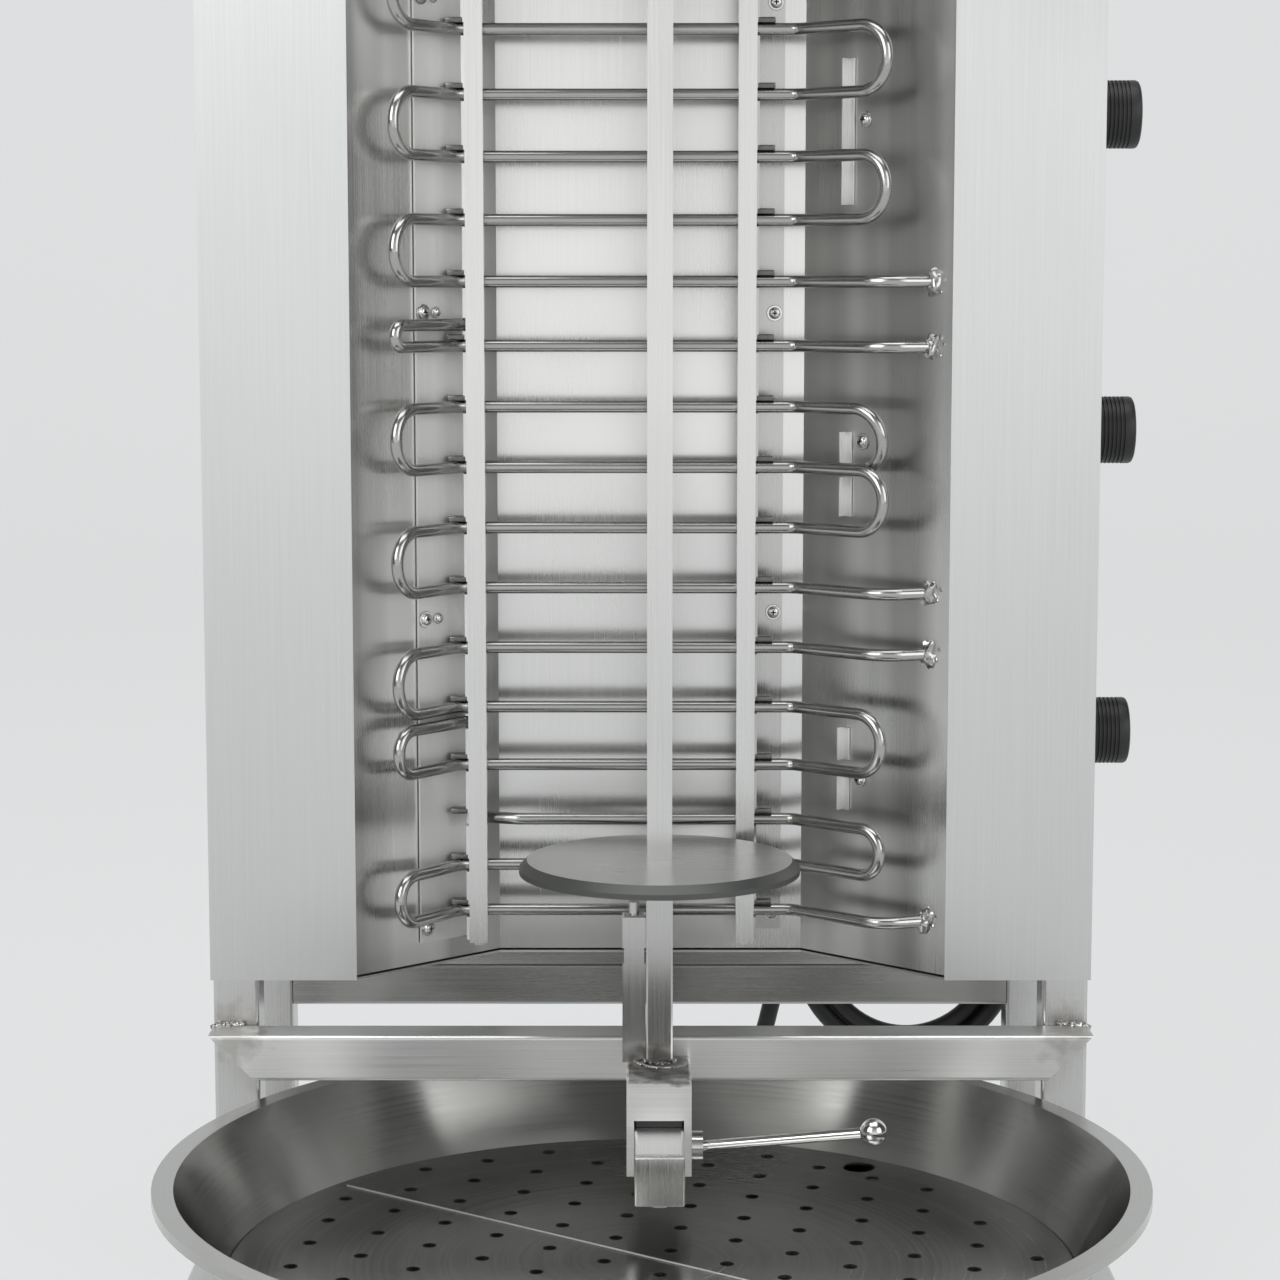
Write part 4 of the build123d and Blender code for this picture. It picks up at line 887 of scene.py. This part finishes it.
@dataclass
class PanDetails:
    """Painted shade in the strainer: black rings round its holes and a black sheet under it."""

    seam: float = -36.3
    pitch: float = 42.0
    row: float = 40.0
    hole: float = 7.0
    shade_rim: float = 8.9
    margin: float = 14.0
    finger: Pair = (140.0, 190.0)
    finger_d: float = 22.0
    shade_film_drop: float = 20.0
    shade_film_reach: float = 240.0
    seam_share: float = 0.97
    edge: Pair = (1.8, 0.7)

    def places(self) -> list[tuple[float, float, bool]]:
        """Centres of the holes.

        Returns:
            Millimetres right of and behind the pan's middle, and whether the hole is in the rear half.
        """
        low, high = span("strainer_rear")
        other_low, other_high = span("strainer_front")
        radius = (max(high.x, other_high.x) - min(low.x, other_low.x)) / 2 / MM
        turn = math.radians(self.seam)
        count = int(radius // self.row)
        found = []
        for line in range(-count, count + 1):
            v = (line + 0.5) * self.row
            for column in range(-count, count + 1):
                u = (column + 0.5 * (line % 2)) * self.pitch
                x = u * math.cos(turn) - v * math.sin(turn)
                y = u * math.sin(turn) + v * math.cos(turn)
                clear = math.hypot(x - self.finger[0], y - self.finger[1]) >= self.finger_d
                if math.hypot(u, v) < radius - self.margin and clear:
                    found.append((x, y, v > 0))
        return found

    def shade_rings(self) -> None:
        """Black rings round the holes: painted shade that makes the holes look wider and darker."""
        top = span("strainer_rear")[1].z / MM
        inner, outer = self.hole / 2, self.shade_rim / 2
        outline = [(inner, -0.1), (outer, -0.1), (outer, 0.12), (inner, 0.12), (inner, -0.1)]
        for body, rear in (("rear_strainer", True), ("front_strainer", False)):
            Workpiece().repeat(Workpiece().lathe(outline, 12), [
                Matrix.Translation(at(x, PAN_Y + y, top)) for x, y, behind in self.places() if behind is rear]).into(
                f"{body}_hole_shade_rings", body, "painted_shade_black", "pan_steel")

    def seam_edge(self) -> None:
        """Bright turned edge of the rear half along the seam."""
        low, high = span("strainer_rear")
        length = 2 * (high.y - PAN_Y * MM - SHIFT_Y * MM) / MM * self.seam_share
        wide, tall = self.edge
        turn = Matrix.Rotation(math.radians(self.seam), 4, "Z")
        Workpiece().brick((length, wide, tall), (0.0, wide / 2 + 0.6, tall / 2)).bevel(0.2).move(
            Matrix.Translation(at(0.0, PAN_Y, high.z / MM)) @ turn).into(
            "seam_edge", "rear_strainer", "light_strip_steel", "pan_steel")

    def shade_film(self) -> None:
        """Thin black sheet on the pan's floor: painted shade seen through the strainer's holes."""
        level = span("strainer_rear")[1].z / MM - self.shade_film_drop
        flat = self.shade_film_reach - 2.0
        Workpiece().lathe([(0, 0), (flat, 0), (self.shade_film_reach, 0.2), (flat, 0.4), (0, 0.4)], 96).move(
            Matrix.Translation(at(0.0, PAN_Y, level))).into("hole_shade_film", "pan", "painted_shade_black", "pan_steel")

    def build(self) -> None:
        """Make the pieces."""
        self.shade_rings()
        self.seam_edge()
        self.shade_film()


@dataclass
class HousingDetails:
    """Plastic end caps of the tubes, and the small pieces of the motor, gear case, terminal box and gland."""

    rail_side: float = 30.0
    top_rail_side: float = 20.0
    cap_t: float = 2.0
    vents: int = 16
    vent_drop: float = 22.0
    gland_x: float = 108.8
    gland_y: float = 243.5
    gland_tip: float = 227.3
    relief: float = 36.0
    relief_tip: float = 7.3
    relief_spread: float = 2.2
    ribs: int = 6
    rib_pitch: float = 5.2

    def tube_caps(self) -> None:
        """Black caps in the open ends of the base rails and the top rails."""
        piece = Workpiece()
        for name, side in (("base_rail_left", self.rail_side), ("base_rail_right", self.rail_side),
                           ("top_rails", self.top_rail_side)):
            low, high = span(name)
            half = side / 2 * MM
            for x in {round(low.x + half, 5), round(high.x - half, 5)}:
                for y, out in ((low.y, -1.0), (high.y, 1.0)):
                    cap = Workpiece().brick((side - 1.0, self.cap_t, side - 1.0)).bevel(0.8)
                    middle = Vector((x, y + out * self.cap_t / 2 * MM, (low.z + high.z) / 2))
                    piece.repeat(cap, [Matrix.Translation(middle)])
        piece.into("tube_caps", "frame", "black_plastic", "black_plastic")

    def motor_vent_shade(self) -> None:
        """Black slots round the motor's upper end, painted as the shade inside its vents."""
        low, high = span("gear_motor")
        radius = (high.x - low.x) / 2 / MM
        middle = Matrix.Translation(((low.x + high.x) / 2, (low.y + high.y) / 2, high.z - self.vent_drop * MM))
        slot = Workpiece().brick((0.6, 3.2, 18), (radius, 0, 0)).bevel(0.2)
        Workpiece().repeat(slot, [middle @ Matrix.Rotation(math.tau * n / self.vents, 4, "Z")
                                  for n in range(self.vents)]).into(
            "motor_vent_shade", "drive_carriage", "painted_shade_black", "motor_paint")

    def cover_screws(self) -> None:
        """Four screws on the gear case and four on the terminal box's cover."""
        low, high = span("gear_case")
        inset = 8.0 * MM
        Workpiece().repeat(Workpiece().screw(3.0, 1.8), [
            Matrix.Translation((x, y, high.z)) for x in (low.x + inset, high.x - inset)
            for y in (low.y + inset, high.y - inset)]).into(
            "drive_screws", "drive_carriage", "polished_steel", "steel_sheet")
        low, high = span("terminal_box")
        inset = 9.0 * MM
        backward = Matrix.Rotation(-math.pi / 2, 4, "X")
        Workpiece().repeat(Workpiece().screw(2.6, 1.6), [
            Matrix.Translation((x, high.y, z)) @ backward for x in (low.x + inset, high.x - inset)
            for z in (low.z + inset, high.z - inset)]).into(
            "box_screws", "frame", "polished_steel", "steel_sheet")

    def gland_ribs(self) -> None:
        """Soft ribs along the cord's strain relief."""
        piece = Workpiece()
        for n in range(self.ribs):
            height = 3.0 + n * self.rib_pitch
            radius = self.relief_tip + self.relief_spread * height / self.relief
            rib = Workpiece().lathe([(radius - 1.0, -1.3), (radius + 0.5, -0.8), (radius + 0.8, 0.0),
                                     (radius + 0.5, 0.8), (radius - 1.0, 1.3), (radius - 1.0, -1.3)], 32)
            piece.repeat(rib, [Matrix.Translation(at(self.gland_x, self.gland_y, self.gland_tip + height))])
        piece.into("gland_ribs", "frame", "foot_rubber", "black_plastic")

    def build(self) -> None:
        """Make the pieces."""
        self.tube_caps()
        self.motor_vent_shade()
        self.cover_screws()
        self.gland_ribs()


@dataclass
class ControlKnobs:
    """Black turned knobs on the right side, one for each element."""

    face_x: float = 290.0
    axis_y: float = 45.0
    length: float = 27.0
    diameter: float = 44.0
    skirt: float = 5.0
    grooves: int = 6
    heights: tuple[tuple[str, float], ...] = (("lower", 160), ("middle", 360), ("upper", 565))

    def profile(self) -> Profile:
        """Outline of the knob from its foot to the middle of its face.

        Returns:
            Radius and height pairs.
        """
        radius = self.diameter / 2
        line = [(0.0, 0.6), (radius - 1.5, 0.6), (radius - 0.3, 1.0), (radius, 1.6)]
        level = self.skirt
        pitch = (self.length - self.skirt - 6.0) / self.grooves
        for _ in range(self.grooves):
            line += [(radius, level), (radius - 0.9, level + 0.35), (radius - 0.9, level + 1.0),
                     (radius, level + 1.35)]
            level += pitch
        line += [(radius, self.length - 2.4), (radius - 0.7, self.length - 0.8), (radius - 2.2, self.length),
                 (radius - 5.0, self.length - 0.2), (radius - 6.5, self.length - 1.2), (0.0, self.length - 1.4)]
        return line

    def build(self) -> None:
        """Make the three knobs and their white pointer lines."""
        for name, height in self.heights:
            place = Matrix.Translation(at(self.face_x, self.axis_y, CAB_Z + height))
            place = place @ Matrix.Rotation(math.pi / 2, 4, "Y")
            Workpiece().lathe(self.profile(), 72).move(place).into(
                f"{name}_knob_body", f"{name}_knob", "black_plastic", "black_plastic", (f"knob_{name}",))
            mark = Workpiece().brick((12.0, 1.4, 0.4), (-9.5, 0.0, self.length - 1.3)).bevel(0.15)
            mark.move(place).into(f"{name}_knob_pointer", f"{name}_knob", "pointer_white", "black_plastic")


@dataclass
class PowerCord:
    """The mains cord: out of its gland, round the hung coil, then down to the plug on the table."""

    diameter: float = 13.0
    coil_x: float = 193.0
    coil_drop: float = 34.0
    least_radius: float = 63.5
    pitch: float = 14.0
    start: float = 180.0
    end: float = 1243.0
    climb: float = 180.0
    gland_y: float = 243.5
    gland_tip: float = 227.3
    lead: Pair = (0.030, 0.057)
    drop: Route = ((83, 262, 92), (60, 270, 48), (16, 276, 18.5), (-45, 276, 18.5))
    step: float = 30.0
    real_length: float = 1.70

    def coil_point(self, angle: float) -> Vector:
        """Point of the coil's centre line: two layers, in and out again.

        Args:
            angle: Degrees along the coil.

        Returns:
            The row-frame point.
        """
        middle = (self.start + self.end) / 2
        radius = self.least_radius + self.pitch * abs(angle - middle) / 360
        climb = min(1.0, max(0.0, (angle - middle) / self.climb + 0.5))
        turn = math.radians(angle)
        return at(self.coil_x + radius * math.cos(turn),
                  self.gland_y + self.pitch * climb * climb * (3 - 2 * climb),
                  CAB_Z - self.coil_drop + radius * math.sin(turn))

    def route(self) -> list[Vector]:
        """Control points from the gland to the plug.

        Returns:
            Row-frame points.
        """
        count = round((self.end - self.start) / self.step)
        angles = [self.start + (self.end - self.start) * n / count for n in range(count + 1)]
        turns = [self.coil_point(angle) for angle in angles]
        heading = (self.coil_point(self.end + 0.5) - self.coil_point(self.end - 0.5)).normalized()
        exit_point = Vector((turns[0].x, turns[0].y, self.gland_tip * MM))
        tail = [turns[-1] + heading * reach for reach in self.lead] + [at(*point) for point in self.drop]
        return [exit_point, *turns, *tail]

    def build(self) -> None:
        """Lay the cord."""
        points = self.route()
        curve = bpy.data.curves.new("power_cord", "CURVE")
        curve.dimensions = "3D"
        curve.bevel_depth = self.diameter / 2 * MM
        curve.bevel_resolution = 5
        curve.resolution_u = 6
        curve.use_fill_caps = True
        spline = curve.splines.new("NURBS")
        spline.points.add(len(points) - 1)
        for slot, point in zip(spline.points, points):
            slot.co = (*point, 1.0)
        spline.order_u = 3
        spline.use_endpoint_u = True
        curve.materials.append(MATERIALS["cord_rubber"])
        cord = stand("power_cord", curve)
        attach(cord, "frame")
        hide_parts("cord_coil", "cord_tail")
        LOG.info("power cord: %d points", len(points))


@dataclass
class Studio:
    """Floor, backdrop, lamps, world and camera.

    Each lamp has a name, a place, an aim and a size in metres, and watts.
    """

    pale: Color = (0.80, 0.815, 0.82)
    even: float = 0.8
    depth: float = 6.0
    half_width: float = 9.0
    curve: float = 1.2
    wall: float = 7.0
    eye: Triple = (-7, -1935, CAB_Z + 460)
    tilt: float = 6.9
    lens: float = 84.375
    sensor: float = 36.0
    lamps: tuple[tuple[str, Triple, Triple, Pair, float], ...] = (
        ("key", (-2.4, -2.8, 2.4), (0, 0, 0.5), (2.6, 2.6), 70),
        ("fill", (2.8, -2.4, 1.8), (0, 0, 0.5), (2.4, 2.6), 40),
        ("top", (0, -0.2, 3.4), (0, 0, 0.4), (3, 2.2), 50))
    by_height: Curve = ((0.0, 0.25), (0.34, 0.85), (0.41, 1.22), (0.49, 1.22), (0.54, 0.88),
                        (0.64, 0.80), (0.76, 0.40), (0.92, 0.18))
    by_side: Curve = ((0, 0.10), (0.14, 0.22), (0.32, 1), (0.68, 1), (0.86, 0.22), (1.0, 0.10))

    def backdrop(self) -> None:
        """One pale sheet: floor, a wide curve and a wall."""
        mesh = bmesh.new()
        radius = self.curve
        line = [(-self.depth, 0.0), (self.depth - radius, 0.0)]
        line += [(self.depth - radius + radius * math.sin(a), radius - radius * math.cos(a))
                 for a in (math.radians(11.25 * n) for n in range(1, 9))]
        line.append((self.depth, self.wall))
        verts = [mesh.verts.new((-self.half_width, y, z)) for y, z in line]
        edges = [mesh.edges.new(pair) for pair in zip(verts, verts[1:])]
        swept = bmesh.ops.extrude_edge_only(mesh, edges=edges)
        moved = [item for item in swept["geom"] if isinstance(item, bmesh.types.BMVert)]
        bmesh.ops.translate(mesh, vec=(2 * self.half_width, 0.0, 0.0), verts=moved)
        bmesh.ops.recalc_face_normals(mesh, faces=mesh.faces)
        for face in mesh.faces:
            face.smooth = True
        data = bpy.data.meshes.new("studio_floor")
        mesh.to_mesh(data)
        mesh.free()
        data.materials.append(self.paper())
        floor = stand("studio_floor", data)

    def paper(self) -> bpy.types.Material:
        """Pale paper that looks even to the camera and in reflections, and keeps a share of its shading.

        Returns:
            The material.
        """
        nodes = Surface("studio_paper")
        nodes.put(Base_Color=self.pale, Roughness=0.9, Specular_IOR_Level=0.1)
        glow = nodes.add("Emission", {"Color": self.pale})
        path = nodes.add("LightPath")
        seen = nodes.math("MAXIMUM", path.outputs["Is Camera Ray"], nodes.math(
            "MAXIMUM", path.outputs["Is Glossy Ray"], path.outputs["Is Transmission Ray"]))
        both = nodes.add("MixShader")
        nodes.join(nodes.math("MULTIPLY", seen, self.even), both.inputs["Fac"])
        nodes.join(nodes.shader.outputs["BSDF"], both.inputs[1])
        nodes.join(glow.outputs["Emission"], both.inputs[2])
        nodes.join(both.outputs["Shader"], nodes.output.inputs["Surface"])
        return nodes.material

    def light_up(self) -> None:
        """Soft rectangular lamps."""
        for name, place, aim, size, energy in self.lamps:
            light = bpy.data.lights.new(name, "AREA")
            light.shape = "RECTANGLE"
            light.size, light.size_y = size
            light.energy = energy
            lamp = stand(name, light)
            lamp.location = place
            lamp.rotation_euler = (Vector(aim) - Vector(place)).to_track_quat("-Z", "Y").to_euler()

    def world(self) -> None:
        """A pale studio wall in front of the grill, with a dim ceiling and dim sides, for light and reflections."""
        world = bpy.data.worlds.new("studio")
        nodes = NodeTree(world)
        split = nodes.add("SeparateXYZ", {"Vector": nodes.add("TexCoord").outputs["Generated"]})
        both = nodes.add("Mix", {"Factor": 1.0}, data_type="RGBA", blend_type="MULTIPLY")
        for axis, stops, slot in (("Z", self.by_height, 6), ("X", self.by_side, 7)):
            ramp = nodes.add("ValToRGB")
            while len(ramp.color_ramp.elements) < len(stops):
                ramp.color_ramp.elements.new(0.5)
            for element, (position, level) in zip(ramp.color_ramp.elements, stops):
                element.position = position
                element.color = (level, level, level, 1.0)
            nodes.join(nodes.spread(split.outputs[axis], 0, 1, -1, 1), ramp.inputs["Fac"])
            nodes.join(ramp.outputs["Color"], both.inputs[slot])
        background = nodes.add("Background", {"Color": both.outputs[2]})
        nodes.add("OutputWorld", {"Surface": background.outputs[0]})
        bpy.context.scene.world = world

    def camera(self) -> None:
        """Camera at the photograph's place."""
        data = bpy.data.cameras.new("camera")
        data.sensor_width = self.sensor
        data.lens = self.lens
        camera = stand("camera", data)
        camera.location = at(*self.eye)
        camera.rotation_euler = (math.radians(90 - self.tilt), 0, 0)
        bpy.context.scene.camera = camera

    def build(self) -> None:
        """Set up everything around the grill."""
        self.camera()
        self.backdrop()
        self.world()
        self.light_up()
        bpy.context.scene.view_settings.view_transform = "Standard"


def main() -> None:
    """Build the studio and every piece in order."""
    logging.basicConfig(level=logging.INFO, format="%(message)s")
    Studio().build()
    for finish in FINISHES:
        MATERIALS[finish.name] = finish.material()
    CadDressing().dress()
    for details in (CabinetDetails, CarriageDetails, PanDetails, HousingDetails, ControlKnobs, PowerCord):
        details().build()


if __name__ == "__main__":
    main()
